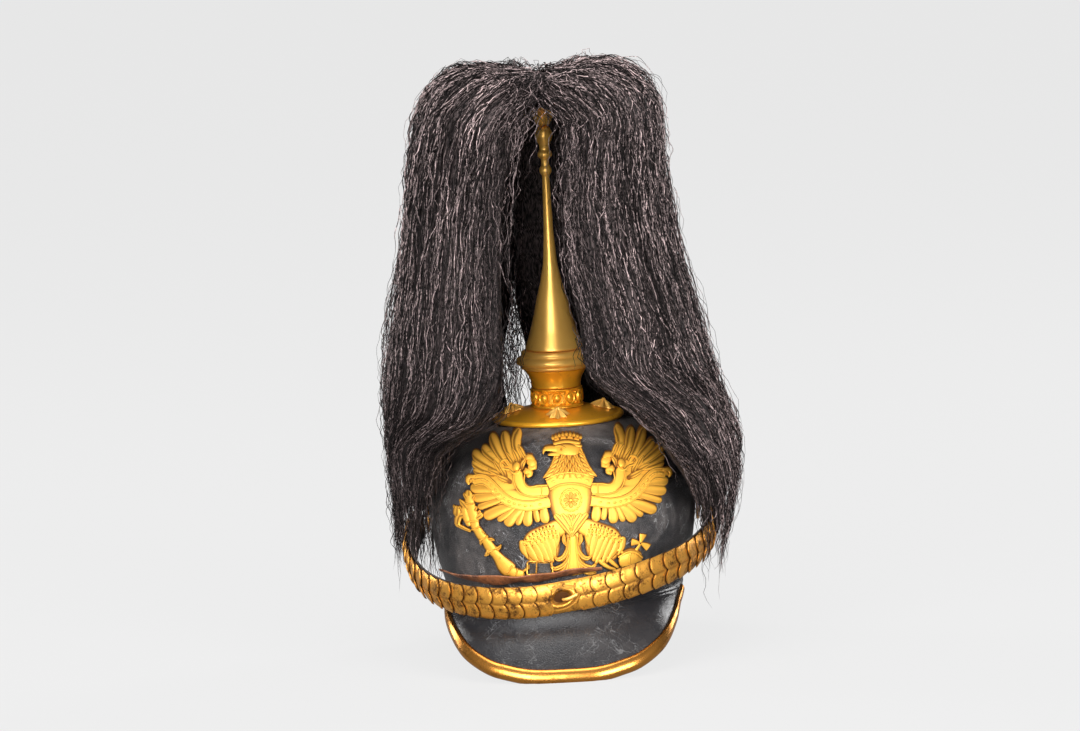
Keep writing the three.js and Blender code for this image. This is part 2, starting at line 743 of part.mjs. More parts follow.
function medallionRing() {
  const band = [
    { r: 0, z: 165.5 },
    { r: 18.2, z: 165.5 },
    { r: 17, z: 167 },
    { r: 16, z: 168.6 },
    { r: 16, z: 176 },
    { r: 17, z: 176.8 },
    { r: 17, z: 178 },
    { r: 0, z: 178 },
  ];
  let ring = toManifold(turnedBody(band, 22));
  for (let i = 0; i < MEDALLION_COUNT; i += 1) {
    const oval = new THREE.SphereGeometry(1, 8, 4);
    oval.scale(MEDALLION_WIDTH / 2, 1.5, MEDALLION_HEIGHT / 2);
    oval.translate(0, -16.2, 172);
    oval.rotateZ((i / MEDALLION_COUNT) * 2 * Math.PI);
    ring = ring.add(toManifold(oval));
  }
  return fromManifold(ring);
}

addPiece('medallion_ring', medallionRing(), 'darkBrass');
addPiece('spike_neck', turnedBody(SPIKE_NECK, 24), 'darkBrass');
addPiece('spike_collar', turnedBody(SPIKE_COLLAR, 28), 'polishedBrass');
addPiece('spike_cone', turnedBody(SPIKE_CONE, 20), 'polishedBrass');
addPiece('plume_cup', turnedBody(PLUME_CUP, 20), 'polishedBrass');

// ---------------------------------------------------------------- plume

const PLUME_COLUMNS = 29;

function plumePoint(row, r, z, across) {
  const angle = THREE.MathUtils.lerp(row.right, 360 - row.left, across);
  const spread = readTable(PLUME_LOCKS, 'angle', 'spread', angle);
  const hem = readTable(PLUME_LOCKS, 'angle', 'hem', angle);
  const lowest = PLUME_PROFILE.at(-1).outZ;
  const fallen = Math.max(0, (PLUME_FALL_HEIGHT - z) / (PLUME_FALL_HEIGHT - lowest));
  const height = fallen > 0 ? PLUME_FALL_HEIGHT - fallen * (PLUME_FALL_HEIGHT - hem) : z;
  const reach = THREE.MathUtils.smoothstep(390 - z, 60, 230);
  const radius = r + spread * reach;
  return vector(
    radius * Math.sin(radians(angle)),
    -radius * Math.cos(radians(angle)),
    height,
  );
}

function plumeBody() {
  const columns = Array.from({ length: PLUME_COLUMNS }, (_, i) => i / (PLUME_COLUMNS - 1));
  const outer = columns.map((across) =>
    PLUME_PROFILE.map((row) => plumePoint(row, row.outR, row.outZ, across)),
  );
  const inner = columns.map((across) =>
    PLUME_PROFILE.map((row) => plumePoint(row, row.inR, row.inZ, across)),
  );
  return sheetBody(outer, inner);
}

addPiece('plume', plumeBody(), 'hair');

// ---------------------------------------------------------------- front plate

const LOBE_POINTS = 4;

// Outline of a run between two discs, drawn in the plate's plane.
function lobeShape(a, b) {
  const direction = Math.atan2(b.z - a.z, b.x - a.x);
  const shape = new THREE.Shape();
  const points = [];
  for (const [centre, start] of [
    [b, direction - Math.PI / 2],
    [a, direction + Math.PI / 2],
  ]) {
    for (let i = 0; i < LOBE_POINTS; i += 1) {
      const angle = start + (i / (LOBE_POINTS - 1)) * Math.PI;
      const r = centre.width / 2;
      points.push(
        new THREE.Vector2(centre.x + r * Math.cos(angle), centre.z + r * Math.sin(angle)),
      );
    }
  }
  shape.setFromPoints(points);
  return shape;
}

function lobePrism(a, b) {
  const prism = new THREE.ExtrudeGeometry(lobeShape(a, b), { depth: 95, bevelEnabled: false });
  prism.rotateZ(radians(EAGLE_ROLL));
  prism.rotateX(Math.PI / 2);
  prism.translate(EAGLE_CENTRE.x, -22, EAGLE_CENTRE.z);
  return toManifold(prism);
}

function runPrisms(rows) {
  return rows.slice(1).map((row, i) => lobePrism(rows[i], row));
}

function mirrored(rows) {
  return rows.map((row) => ({ ...row, x: -row.x }));
}

function featherRun(row, side) {
  return [
    { x: side * row.rootX, z: row.rootZ, width: row.width * 0.8 },
    { x: side * row.tipX, z: row.tipZ, width: row.width },
  ];
}

function joined(prisms) {
  return prisms.reduce((sum, prism) => sum.add(prism));
}

// The layer of the given relief over the front of the shell.
function shellLayer(relief) {
  const angles = shellAngles.map((angle) => (angle > Math.PI ? angle - 2 * Math.PI : angle));
  const front = angles.filter((angle) => Math.abs(angle) < 1.3).sort((a, b) => a - b);
  const last = SHELL_SECTIONS.length - 3;
  const outer = shellGrid(front, 0, last, PLATE_STANDOFF + relief);
  const inner = shellGrid(front, 0, last, PLATE_STANDOFF);
  return toManifold(sheetBody(outer, inner));
}

function frontPlateBody() {
  const knuckles = WING_KNUCKLES.flatMap((row) => [row, { ...row, x: row.x + 1.4 }]);
  const low = [-1, 1].flatMap((side) =>
    [...WING_FEATHERS, ...WING_WEB].flatMap((row) => runPrisms(featherRun(row, side))),
  );
  const rightRuns = [WING_ARM, knuckles, WING_RIBBON, ...Object.values(EAGLE_LEG)];
  const high = [
    ...rightRuns.flatMap((run) => runPrisms(run)),
    ...rightRuns.flatMap((run) => runPrisms(mirrored(run))),
    ...Object.values(EAGLE_BODY).flatMap((run) => runPrisms(run)),
    ...Object.values(SCEPTRE).flatMap((run) => runPrisms(run)),
    ...Object.values(ORB).flatMap((run) => runPrisms(run)),
  ];
  const lowPart = joined(low).intersect(shellLayer(PLATE_LOW_RELIEF));
  const highPart = joined(high).intersect(shellLayer(PLATE_HIGH_RELIEF));
  return fromManifold(lowPart.add(highPart));
}

addPiece('front_plate', frontPlateBody(), 'gilt');

// ---------------------------------------------------------------- chin strap

const strapCurve = new THREE.CatmullRomCurve3(
  STRAP_PATH.map((row) => vector(row.x, row.y, row.z)),
);
const strapLength = strapCurve.getLength();
const strapLean = STRAP_PATH.map((row, i) => ({ i: i / (STRAP_PATH.length - 1), lean: row.lean }));

// A point by its way along the strap, across it (up) and out from its inner face.
function strapPoint(way, across, out) {
  const u = THREE.MathUtils.clamp(way / strapLength, 0, 1);
  const tangent = strapCurve.getTangentAt(u);
  const facing = tangent.clone().cross(vector(0, 0, 1)).normalize();
  const upward = facing.clone().cross(tangent);
  const lean = radians(readTable(strapLean, 'i', 'lean', u));
  const up = upward.clone().multiplyScalar(Math.cos(lean));
  up.addScaledVector(facing, Math.sin(lean));
  const face = facing.multiplyScalar(Math.cos(lean));
  face.addScaledVector(upward, -Math.sin(lean));
  return strapCurve.getPointAt(u).addScaledVector(up, across).addScaledVector(face, out);
}

function strapGrid(ways, acrosses, outAt) {
  return ways.map((way) => acrosses.map((across) => strapPoint(way, across, outAt(way, across))));
}

function liningBody() {
  const ways = Array.from({ length: 53 }, (_, i) => (i / 52) * strapLength);
  const acrosses = [-0.5, 0.5].map((side) => side * (STRAP_WIDTH - 2));
  const outer = strapGrid(ways, acrosses, () => LINING_WALL);
  const inner = strapGrid(ways, acrosses, () => 0);
  return sheetBody(outer, inner);
}

addPiece('chin_lining', liningBody(), 'strapLeather');

const SCALE_ACROSS = [-1, -0.78, -0.5, -0.22, 0, 0.22, 0.5, 0.78, 1];
const scaleSeat = LINING_WALL + 0.35;

function domeRise(side) {
  return SCALE_DOME * (1 - side * side);
}

// A scale from its covered back edge to its lobed free edge, which points to the middle.
function scaleBody(back, pitch, way) {
  const length = pitch + SCALE_OVERLAP;
  const climb = (SCALE_SHEET + 0.55) / pitch;
  const line = (start, fraction, sheet) =>
    SCALE_ACROSS.map((side) => {
      const lobe = fraction * SCALE_LOBE * Math.abs(Math.sin(Math.PI * side));
      const run = fraction * length + lobe;
      const out = scaleSeat + climb * run + domeRise(side) + sheet;
      return strapPoint(way(back + run), (side * STRAP_WIDTH) / 2, out);
    });
  const outer = [line(back, 0, SCALE_SHEET), line(back, 1, SCALE_SHEET)];
  const inner = [line(back, 0, 0), line(back, 1, 0)];
  return sheetBody(outer, inner);
}

const endPlateMiddle = strapLength * 0.507;
const endPlateStart = endPlateMiddle - END_PLATE_LENGTH / 2;
const endPlateStop = endPlateMiddle + END_PLATE_LENGTH / 2;

// Scales of one side, from the post to the end plate, with the pitch easing down.
function addScales(side, count, room, way) {
  const scaleStart = 1;
  const ratio = (i) => THREE.MathUtils.lerp(FIRST_PITCH, LAST_PITCH, i / (count - 1));
  const raw = Array.from({ length: count }, (_, i) => ratio(i));
  const total = raw.reduce((sum, pitch) => sum + pitch, 0);
  const fit = (room - scaleStart) / total;
  let back = scaleStart;
  raw.forEach((value, i) => {
    const pitch = value * fit;
    const name = `scale_${side}_${String(i + 1).padStart(2, '0')}`;
    addPiece(name, scaleBody(back, pitch, way), 'oldBrass');
    back += pitch;
  });
}

addScales('left', LEFT_SCALES, endPlateStart, (way) => way);
addScales('right', RIGHT_SCALES, strapLength - endPlateStop, (way) => strapLength - way);

function endPlateBody() {
  const ways = Array.from({ length: 6 }, (_, i) => {
    const inset = 0.4;
    const span = END_PLATE_LENGTH - 2 * inset;
    return endPlateStart + inset + (i / 5) * span;
  });
  const acrosses = SCALE_ACROSS.map((side) => (side * (STRAP_WIDTH - 0.6)) / 2);
  const rise = (across) => domeRise((2 * across) / STRAP_WIDTH);
  const outer = strapGrid(ways, acrosses, (_, across) => scaleSeat + 0.9 + rise(across));
  const inner = strapGrid(ways, acrosses, () => scaleSeat);
  const plate = toManifold(sheetBody(outer, inner));
  const recess = new THREE.SphereGeometry(1, 20, 10);
  recess.scale(7.2, 1.7, 4.6);
  const seat = strapPoint(endPlateMiddle, -0.5, scaleSeat + 0.9 + SCALE_DOME);
  recess.translate(seat.x, seat.y, seat.z);
  return fromManifold(plate.subtract(toManifold(recess)));
}

addPiece('end_plate', endPlateBody(), 'oldBrass');

function hookBody() {
  const top = scaleSeat + 0.9 + SCALE_DOME;
  const path = new THREE.CatmullRomCurve3([
    strapPoint(endPlateMiddle - 1, -1, top - 0.1),
    strapPoint(endPlateMiddle + 2.5, -0.6, top + 1.5),
    strapPoint(endPlateMiddle + 6, 0.6, top + 1.7),
    strapPoint(endPlateMiddle + 8.6, 1.6, top + 1.4),
  ]);
  const section = new THREE.Shape().absellipse(0, 0, 0.8, 0.8, 0, 2 * Math.PI);
  const options = { steps: 8, extrudePath: path, curveSegments: 4, bevelEnabled: false };
  return closedBody(new THREE.ExtrudeGeometry(section, options));
}

addPiece('end_hook', hookBody(), 'polishedBrass');

for (const side of [-1, 1]) {
  const post = new THREE.CylinderGeometry(9, 9, 2.9, 20).rotateZ(Math.PI / 2);
  const mesh = addPiece(side < 0 ? 'boss_left' : 'boss_right', closedBody(post), 'oldBrass');
  mesh.position.set(side * 90.55, 8, 92);
}

// ---------------------------------------------------------------- tie strap and buckle

const tieCurve = new THREE.CatmullRomCurve3(TIE_PATH.map((row) => vector(row.x, row.y, row.z)));
const tieSlope = TIE_PATH.map((row, i) => ({ i: i / (TIE_PATH.length - 1), slope: row.slope }));

function tiePoint(u, across, rise) {
  const tangent = tieCurve.getTangent(u);
  const outward = tangent.clone().cross(vector(0, 0, 1)).normalize();
  const upward = outward.clone().cross(tangent);
  const slope = radians(readTable(tieSlope, 'i', 'slope', u));
  const width = outward.clone().multiplyScalar(Math.cos(slope));
  width.addScaledVector(upward, Math.sin(slope));
  const face = upward.multiplyScalar(Math.cos(slope));
  face.addScaledVector(outward, -Math.sin(slope));
  return tieCurve.getPoint(u).addScaledVector(width, across).addScaledVector(face, rise);
}

function tieBody() {
  const steps = Array.from({ length: 31 }, (_, i) => i / 30);
  const sides = [-0.5, 0.5].map((side) => side * TIE_WIDTH);
  const upper = steps.map((u) => sides.map((side) => tiePoint(u, side, TIE_WALL)));
  const lower = steps.map((u) => sides.map((side) => tiePoint(u, side, 0)));
  return sheetBody(upper, lower);
}

addPiece('tie_strap', tieBody(), 'brownLeather');

function buckleBody() {
  const frame = new THREE.Shape();
  frame.moveTo(-8.8, 0).lineTo(8.8, 0).lineTo(8.8, 9.4).lineTo(-8.8, 9.4).closePath();
  const opening = new THREE.Path();
  opening.moveTo(-7, 1.8).lineTo(-7, 7.6).lineTo(7, 7.6).lineTo(7, 1.8).closePath();
  frame.holes.push(opening);
  return closedBody(new THREE.ExtrudeGeometry(frame, { depth: 1.6, bevelEnabled: false }));
}

const buckle = addPiece('tie_buckle', buckleBody().rotateX(Math.PI / 2), 'polishedBrass');
buckle.position.set(-17, -111.4, 68.6);
buckle.rotation.set(radians(-12), radians(-4), radians(-14), 'ZYX');

export default helmet;
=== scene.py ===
# %% [markdown]
# # A spiked parade helmet
# The helmet has a leather shell with a front visor and a neck guard, an eagle plate, a loop of
# chin scales, and a tall turned brass holder that carries a parted horsehair plume.
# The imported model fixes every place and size. Here each visible surface is made again with its
# fine shape and finish, mostly as functions of two parameters worked out as whole arrays.

# %% Load the fixed frame
import math

import bmesh
import bpy
import numpy as np
from mathutils import Matrix, Vector


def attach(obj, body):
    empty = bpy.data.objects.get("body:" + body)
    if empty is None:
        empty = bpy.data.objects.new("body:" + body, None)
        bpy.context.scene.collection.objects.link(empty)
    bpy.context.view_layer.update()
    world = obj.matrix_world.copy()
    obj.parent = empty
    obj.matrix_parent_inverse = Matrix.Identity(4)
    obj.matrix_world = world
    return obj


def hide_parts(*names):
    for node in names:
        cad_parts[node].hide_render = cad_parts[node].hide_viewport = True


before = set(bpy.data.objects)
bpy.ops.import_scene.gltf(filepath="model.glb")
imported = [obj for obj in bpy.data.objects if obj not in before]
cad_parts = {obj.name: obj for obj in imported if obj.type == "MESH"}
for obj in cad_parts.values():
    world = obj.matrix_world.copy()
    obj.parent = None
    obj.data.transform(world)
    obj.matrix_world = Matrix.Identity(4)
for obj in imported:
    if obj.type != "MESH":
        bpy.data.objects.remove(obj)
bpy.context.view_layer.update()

# %% [markdown]
# The camera comes first, because everything is judged through it. A long lens far away keeps
# the proportions of the tall spike true, and eight degrees of height shows the visor's top.
# The helmet stood a little askew, so the camera is rolled rather than the helmet tilted.

# %% Camera
SENSOR_WIDTH = 36.0
CAMERA_DISTANCE = 12.0
VIEW_WIDTH = 0.72
CAMERA_HEIGHT_ANGLE = math.radians(8)
CAMERA_ROLL = math.radians(2.9)
CAMERA_TARGET = Vector((-0.0102, 0.0, 0.1926))


def make_camera():
    """A camera on the line from the target, up by the height angle, rolled clockwise."""
    back = Vector((0, -math.cos(CAMERA_HEIGHT_ANGLE), math.sin(CAMERA_HEIGHT_ANGLE)))
    right = Vector((1, 0, 0))
    up = back.cross(right)
    rolled_up = up * math.cos(CAMERA_ROLL) + right * math.sin(CAMERA_ROLL)
    rolled_right = right * math.cos(CAMERA_ROLL) - up * math.sin(CAMERA_ROLL)
    data = bpy.data.cameras.new("camera")
    data.sensor_width = SENSOR_WIDTH
    data.lens = SENSOR_WIDTH * CAMERA_DISTANCE / VIEW_WIDTH
    data.clip_end = 200
    camera = bpy.data.objects.new("camera", data)
    bpy.context.scene.collection.objects.link(camera)
    axes = Matrix((rolled_right, rolled_up, back)).transposed().to_4x4()
    camera.matrix_world = Matrix.Translation(CAMERA_TARGET + back * CAMERA_DISTANCE) @ axes
    bpy.context.scene.camera = camera


make_camera()
print("camera: lens", round(bpy.context.scene.camera.data.lens), "mm")

# %% [markdown]
# The sky, the floor and every finish are trees of nodes. One helper places a node and fills its
# inputs, and a few more stand for the steps that come back often. Effects that more than one
# finish needs become groups, which only put out colours, masks and heights: the shader stays in
# the material, where each finish chooses its own strengths.

# %% Helpers: shader nodes and groups
def place(tree, kind, inputs=None, **settings):
    """Adds a node, sets its settings, and fills its inputs with numbers or with links."""
    node = tree.nodes.new(kind)
    for key, value in settings.items():
        setattr(node, key, value)
    for key, value in (inputs or {}).items():
        if isinstance(value, bpy.types.NodeSocket):
            tree.links.new(value, node.inputs[key])
        else:
            node.inputs[key].default_value = value
    return node


def blend_colour(tree, share, low, high, mode="MIX"):
    """Mixes two colours by a share. Each may be a colour or a link."""
    node = place(tree, "ShaderNodeMix", data_type="RGBA", blend_type=mode)
    for index, value in ((0, share), (6, low), (7, high)):
        if isinstance(value, bpy.types.NodeSocket):
            tree.links.new(value, node.inputs[index])
        else:
            node.inputs[index].default_value = value
    return node.outputs[2]


def stretch(tree, value, low, high, start=0.0, end=1.0, steps="LINEAR"):
    """Maps low..high of a value to start..end."""
    ends = {"Value": value, "From Min": low, "From Max": high, "To Min": start, "To Max": end}
    return place(tree, "ShaderNodeMapRange", ends, interpolation_type=steps).outputs["Result"]


def combine(tree, operation, *numbers, clamp=False):
    """One step of arithmetic on up to three numbers or links."""
    given = dict(enumerate(numbers))
    return place(tree, "ShaderNodeMath", given, operation=operation, use_clamp=clamp).outputs[0]


def noise(tree, spot, scale, **settings):
    """Smooth noise at a place, as a number and as a colour."""
    given = {"Vector": spot, "Scale": scale, **settings}
    return place(tree, "ShaderNodeTexNoise", given).outputs


def new_group(name, inputs, outputs):
    """An empty node group with the named inputs and outputs, and its two end nodes."""
    tree = bpy.data.node_groups.new(name, "ShaderNodeTree")
    for socket_name, kind, value in inputs:
        socket = tree.interface.new_socket(socket_name, in_out="INPUT", socket_type=kind)
        if value is not None:
            socket.default_value = value
    for socket_name, kind in outputs:
        tree.interface.new_socket(socket_name, in_out="OUTPUT", socket_type=kind)
    return tree, place(tree, "NodeGroupInput").outputs, place(tree, "NodeGroupOutput").inputs


NUMBER, COLOUR, VECTOR = "NodeSocketFloat", "NodeSocketColor", "NodeSocketVector"


def use_group(tree, group, **inputs):
    """Places a group in a material with its own values, and returns its outputs."""
    named = {key.replace("_", " "): value for key, value in inputs.items()}
    return place(tree, "ShaderNodeGroup", named, node_tree=group).outputs


# %% [markdown]
# The studio is a pale floor under a pale sky. Polished brass shows what stands round it, so the
# floor and the sky that metal sees are darker than the ones behind it, and broad lamps put long
# highlights on the turned parts.

# %% Floor, sky and lamps
FLOOR_RADIUS, FLOOR_SIDES = 60.0, 64
BACKDROP_GREY = 0.838
FLOOR_PAINT = 0.05
FLOOR_GLOW_SEEN, FLOOR_GLOW_CAST = 0.78, 0.3
SKY_BACK, SKY_FRONT = 0.175, 0.7
LAMP_TARGET = Vector((0, 0, 0.2))


def grey(level):
    """An opaque grey of one level."""
    return (level, level, level, 1)


def seen_by_camera(tree):
    """The link that is 1 for what the camera looks at and 0 for what lights the helmet."""
    return place(tree, "ShaderNodeLightPath").outputs["Is Camera Ray"]


def make_floor():
    """A flat disc at height zero, far wider than any view of the helmet."""
    turn = np.linspace(0, 2 * np.pi, FLOOR_SIDES, endpoint=False)
    ring = np.stack([FLOOR_RADIUS * np.cos(turn), FLOOR_RADIUS * np.sin(turn), 0 * turn], 1)
    mesh = bpy.data.meshes.new("floor")
    mesh.from_pydata(ring.tolist(), [], [list(range(FLOOR_SIDES))])
    floor = bpy.data.objects.new("floor", mesh)
    bpy.context.scene.collection.objects.link(floor)
    material = bpy.data.materials.new("pale_floor")
    material.use_nodes = True
    tree = material.node_tree
    tree.nodes.clear()
    paint = place(tree, "ShaderNodeBsdfDiffuse", {"Color": grey(FLOOR_PAINT)})
    level = stretch(tree, seen_by_camera(tree), 0, 1, FLOOR_GLOW_CAST, FLOOR_GLOW_SEEN)
    glow = place(tree, "ShaderNodeEmission", {"Strength": level})
    both = place(tree, "ShaderNodeAddShader", {0: paint.outputs[0], 1: glow.outputs[0]})
    place(tree, "ShaderNodeOutputMaterial", {"Surface": both.outputs[0]})
    mesh.materials.append(material)


def make_sky():
    """Even backdrop grey to the camera. The helmet sees a tent of cloth, whose brightness rises
    from SKY_BACK behind it to SKY_FRONT in front."""
    world = bpy.data.worlds.new("studio")
    bpy.context.scene.world = world
    world.use_nodes = True
    tree = world.node_tree
    tree.nodes.clear()
    spot = place(tree, "ShaderNodeTexCoord").outputs["Generated"]
    way = place(tree, "ShaderNodeSeparateXYZ", {"Vector": spot}).outputs["Y"]
    level = stretch(tree, way, 0.3, -0.7, SKY_BACK, SKY_FRONT, "SMOOTHSTEP")
    cloth = place(tree, "ShaderNodeBackground", {"Strength": level})
    backdrop = place(tree, "ShaderNodeBackground", {"Color": grey(BACKDROP_GREY)})
    either = {"Fac": seen_by_camera(tree), 1: cloth.outputs[0], 2: backdrop.outputs[0]}
    mix = place(tree, "ShaderNodeMixShader", either)
    place(tree, "ShaderNodeOutputWorld", {"Surface": mix.outputs[0]})


def make_lamp(name, spot, width, height, power):
    """A white rectangular lamp that faces the middle of the helmet."""
    data = bpy.data.lights.new(name, "AREA")
    data.shape = "RECTANGLE"
    data.size, data.size_y = width, height
    data.energy = power
    lamp = bpy.data.objects.new(name, data)
    lamp.location = spot
    lamp.rotation_euler = (LAMP_TARGET - lamp.location).to_track_quat("-Z", "Y").to_euler()
    bpy.context.scene.collection.objects.link(lamp)


make_floor()
make_sky()
LAMPS = (  # name, place, width and height in metres, power in watts
    ("key_left", (-1.5, -2.6, 0.9), 1.3, 1.5, 70),
    ("front_soft", (-0.6, -2.95, 0.75), 1.3, 1.6, 46),
    ("fill_right", (1.5, -2.5, 0.6), 1.2, 1.4, 100),
    ("top_soft", (-0.2, -0.5, 2.2), 1.4, 1.1, 24),
    ("rim_right", (1.5, 1.2, 0.9), 0.5, 1.3, 20),
    ("rim_left", (-1.6, 1.0, 0.9), 0.5, 1.3, 18),
)
for lamp in LAMPS:
    make_lamp(*lamp)
bpy.context.scene.view_settings.view_transform = "Standard"
print("studio:", len(LAMPS), "lamps")

# %% [markdown]
# Every new piece is a grid of points: rows and columns of two parameters. A thin piece has an
# outer and an inner grid, and the two are closed into one body by walls along their edges.
# Writing whole arrays into the mesh at once keeps even a hundred thousand points quick.

# %% Helpers: tables, grids and meshes
MM = 0.001
SMOOTH_ANGLE = math.radians(38)
WELD_DISTANCE = 1e-6


def smooth_read(keys, values, at):
    """Cubic curve through a table's rows. On each span the two values and their slopes are
    mixed by the Hermite weights, and a row's slope is that of the parabola round it."""
    keys, values = np.asarray(keys, float), np.asarray(values, float)
    at = np.clip(np.asarray(at, float), keys[0], keys[-1])
    slopes = np.gradient(values, keys, axis=0)
    span = np.clip(np.searchsorted(keys, at, side="right") - 1, 0, len(keys) - 2)
    width = keys[span + 1] - keys[span]
    t = (at - keys[span]) / width
    if values.ndim > 1:
        t, width = t[..., None], width[..., None]
    square, cube = t * t, t * t * t
    return (
        (2 * cube - 3 * square + 1) * values[span]
        + (cube - 2 * square + t) * width * slopes[span]
        + (3 * square - 2 * cube) * values[span + 1]
        + (cube - square) * width * slopes[span + 1]
    )


def circle(count):
    """Evenly spaced angles once round, without repeating the first."""
    return np.linspace(0, 2 * np.pi, count, endpoint=False)


def unit(vectors):
    """Vectors divided by their own length."""
    return vectors / np.maximum(np.linalg.norm(vectors, axis=-1, keepdims=True), 1e-12)


def blend_step(low, high, value):
    """Smooth step: 3t² - 2t³, where t runs from 0 at low to 1 at high."""
    t = np.clip((value - low) / (high - low), 0, 1)
    return t * t * (3 - 2 * t)


def grid_quads(rows, columns, close_rows=False, close_columns=False):
    """Corner numbers of each cell of a grid whose points are numbered row by row."""
    i = np.arange(rows if close_rows else rows - 1)[:, None]
    j = np.arange(columns if close_columns else columns - 1)[None, :]
    next_i, next_j = (i + 1) % rows, (j + 1) % columns
    corners = [i * columns + j, next_i * columns + j]
    corners += [next_i * columns + next_j, i * columns + next_j]
    return np.stack(np.broadcast_arrays(*corners), -1).reshape(-1, 4)


def sheet_bodies(outer, inner, close_rows=False):
    """Closed thin bodies, one for each pair of grids shaped (body, row, column, xyz): the
    outer cells, the inner cells turned round, and walls of quads along the free edges."""
    outer, inner = np.asarray(outer, float), np.asarray(inner, float)
    if outer.ndim == 3:
        outer, inner = outer[None], inner[None]
    bodies, rows, columns, _ = outer.shape
    count = rows * columns
    cells = grid_quads(rows, columns, close_rows)
    faces = [cells, cells[:, ::-1] + count]
    line = np.arange(rows if close_rows else rows - 1)
    after = (line + 1) % rows
    for column, flip in ((0, True), (columns - 1, False)):
        a, b = line * columns + column, after * columns + column
        wall = np.stack([a, b, b + count, a + count], 1)
        faces.append(wall if flip else wall[:, ::-1])
    if not close_rows:
        line = np.arange(columns - 1)
        for row, flip in ((0, False), (rows - 1, True)):
            a = row * columns + line
            wall = np.stack([a, a + 1, a + 1 + count, a + count], 1)
            faces.append(wall if flip else wall[:, ::-1])
    one = np.concatenate(faces)
    points = np.concatenate([outer.reshape(bodies, -1, 3), inner.reshape(bodies, -1, 3)], 1)
    shift = np.arange(bodies)[:, None, None] * 2 * count
    return points.reshape(-1, 3), (one[None] + shift).reshape(-1, 4)


def outward(points, faces):
    """The faces, turned round when the volume that they enclose comes out negative. Six times
    the volume is the sum of a·(b×c) over the triangles, two of them to each cell."""
    corners = [points[faces[:, k]] for k in range(faces.shape[1])]
    volume = sum(np.einsum("ij,ij->i", corners[0], np.cross(b, c)).sum()
                 for b, c in zip(corners[1:], corners[2:]))
    return faces if volume > 0 else faces[:, ::-1]


def join_bodies(parts):
    """Several (points, faces) pairs as one pair, with each one's faces turned outward."""
    points, faces, first = [], [], 0
    for part_points, part_faces in parts:
        points.append(part_points)
        faces.append(outward(part_points, part_faces) + first)
        first += len(part_points)
    return np.concatenate(points), np.concatenate(faces)


def make_piece(name, body, material, stands_for=(), weld=True, values=None, uv=None,
               crease=SMOOTH_ANGLE):
    """Writes a body, in millimetres, into a mesh at the origin, in metres, hangs it from the root body,
    hides the model nodes that it stands for and gives it its finish.
    values are named numbers per point, uv is a pair of numbers per point, and edges that turn
    by more than the crease angle stay sharp."""
    points, faces = body
    faces = outward(points, faces)
    mesh = bpy.data.meshes.new(name)
    mesh.vertices.add(len(points))
    mesh.vertices.foreach_set("co", (points * MM).astype(np.float32).ravel())
    corners = faces.shape[1]
    mesh.loops.add(faces.size)
    mesh.loops.foreach_set("vertex_index", faces.astype(np.int32).ravel())
    mesh.polygons.add(len(faces))
    mesh.polygons.foreach_set("loop_start", np.arange(0, faces.size, corners, dtype=np.int32))
    for key, numbers in (values or {}).items():
        layer = mesh.attributes.new(key, "FLOAT", "POINT")
        layer.data.foreach_set("value", np.asarray(numbers, np.float32).ravel())
    if uv is not None:
        layer = mesh.uv_layers.new(name="UVMap")
        layer.data.foreach_set("uv", uv[faces.ravel()].astype(np.float32).ravel())
    mesh.update(calc_edges=True)
    if weld:
        work = bmesh.new()
        work.from_mesh(mesh)
        bmesh.ops.remove_doubles(work, verts=work.verts, dist=WELD_DISTANCE)
        bmesh.ops.dissolve_degenerate(work, edges=work.edges, dist=WELD_DISTANCE / 2)
        work.to_mesh(mesh)
        work.free()
    mesh.validate()
    mesh.shade_smooth()
    if crease is not None:
        mesh.set_sharp_from_angle(angle=crease)
    mesh.materials.append(material)
    piece = bpy.data.objects.new(name, mesh)
    bpy.context.scene.collection.objects.link(piece)
    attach(piece, "root")
    if stands_for:
        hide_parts(*stands_for)
    mesh.calc_loop_triangles()
    print(f"{name}: {len(mesh.loop_triangles)} triangles")


print("helpers ready")

# %% [markdown]
# Finishes come before shapes, so that every piece is born with its own. The first group is
# mottling: two sizes of noise added and cut to a mask. It serves for dust, dull patches and tarnish
# alike, because all three gather in soft clouds with a ragged edge.

# %% Shared group: mottling
def build_mottle():
    """Mask = smooth step of (coarse noise + 0.45 fine noise) between Start and End."""
    tree, given, made = new_group(
        "mottling",
        [("Place", VECTOR, None), ("Scale", NUMBER, 60.0), ("Start", NUMBER, 0.5),
         ("End", NUMBER, 0.8)],
        [("Mask", NUMBER), ("Fine", NUMBER)],
    )
    fine_scale = combine(tree, "MULTIPLY", given["Scale"], 6.3)
    rough = {"Detail": 3.0, "Roughness": 0.6}
    coarse = noise(tree, given["Place"], given["Scale"], **rough)["Fac"]
    fine = noise(tree, given["Place"], fine_scale, **rough)["Fac"]
    added = combine(tree, "MULTIPLY_ADD", fine, 0.45, coarse)
    mask = stretch(tree, added, given["Start"], given["End"], steps="SMOOTHSTEP")
    tree.links.new(mask, made["Mask"])
    tree.links.new(fine, made["Fine"])
    return tree


MOTTLE = build_mottle()
print("group:", MOTTLE.name)
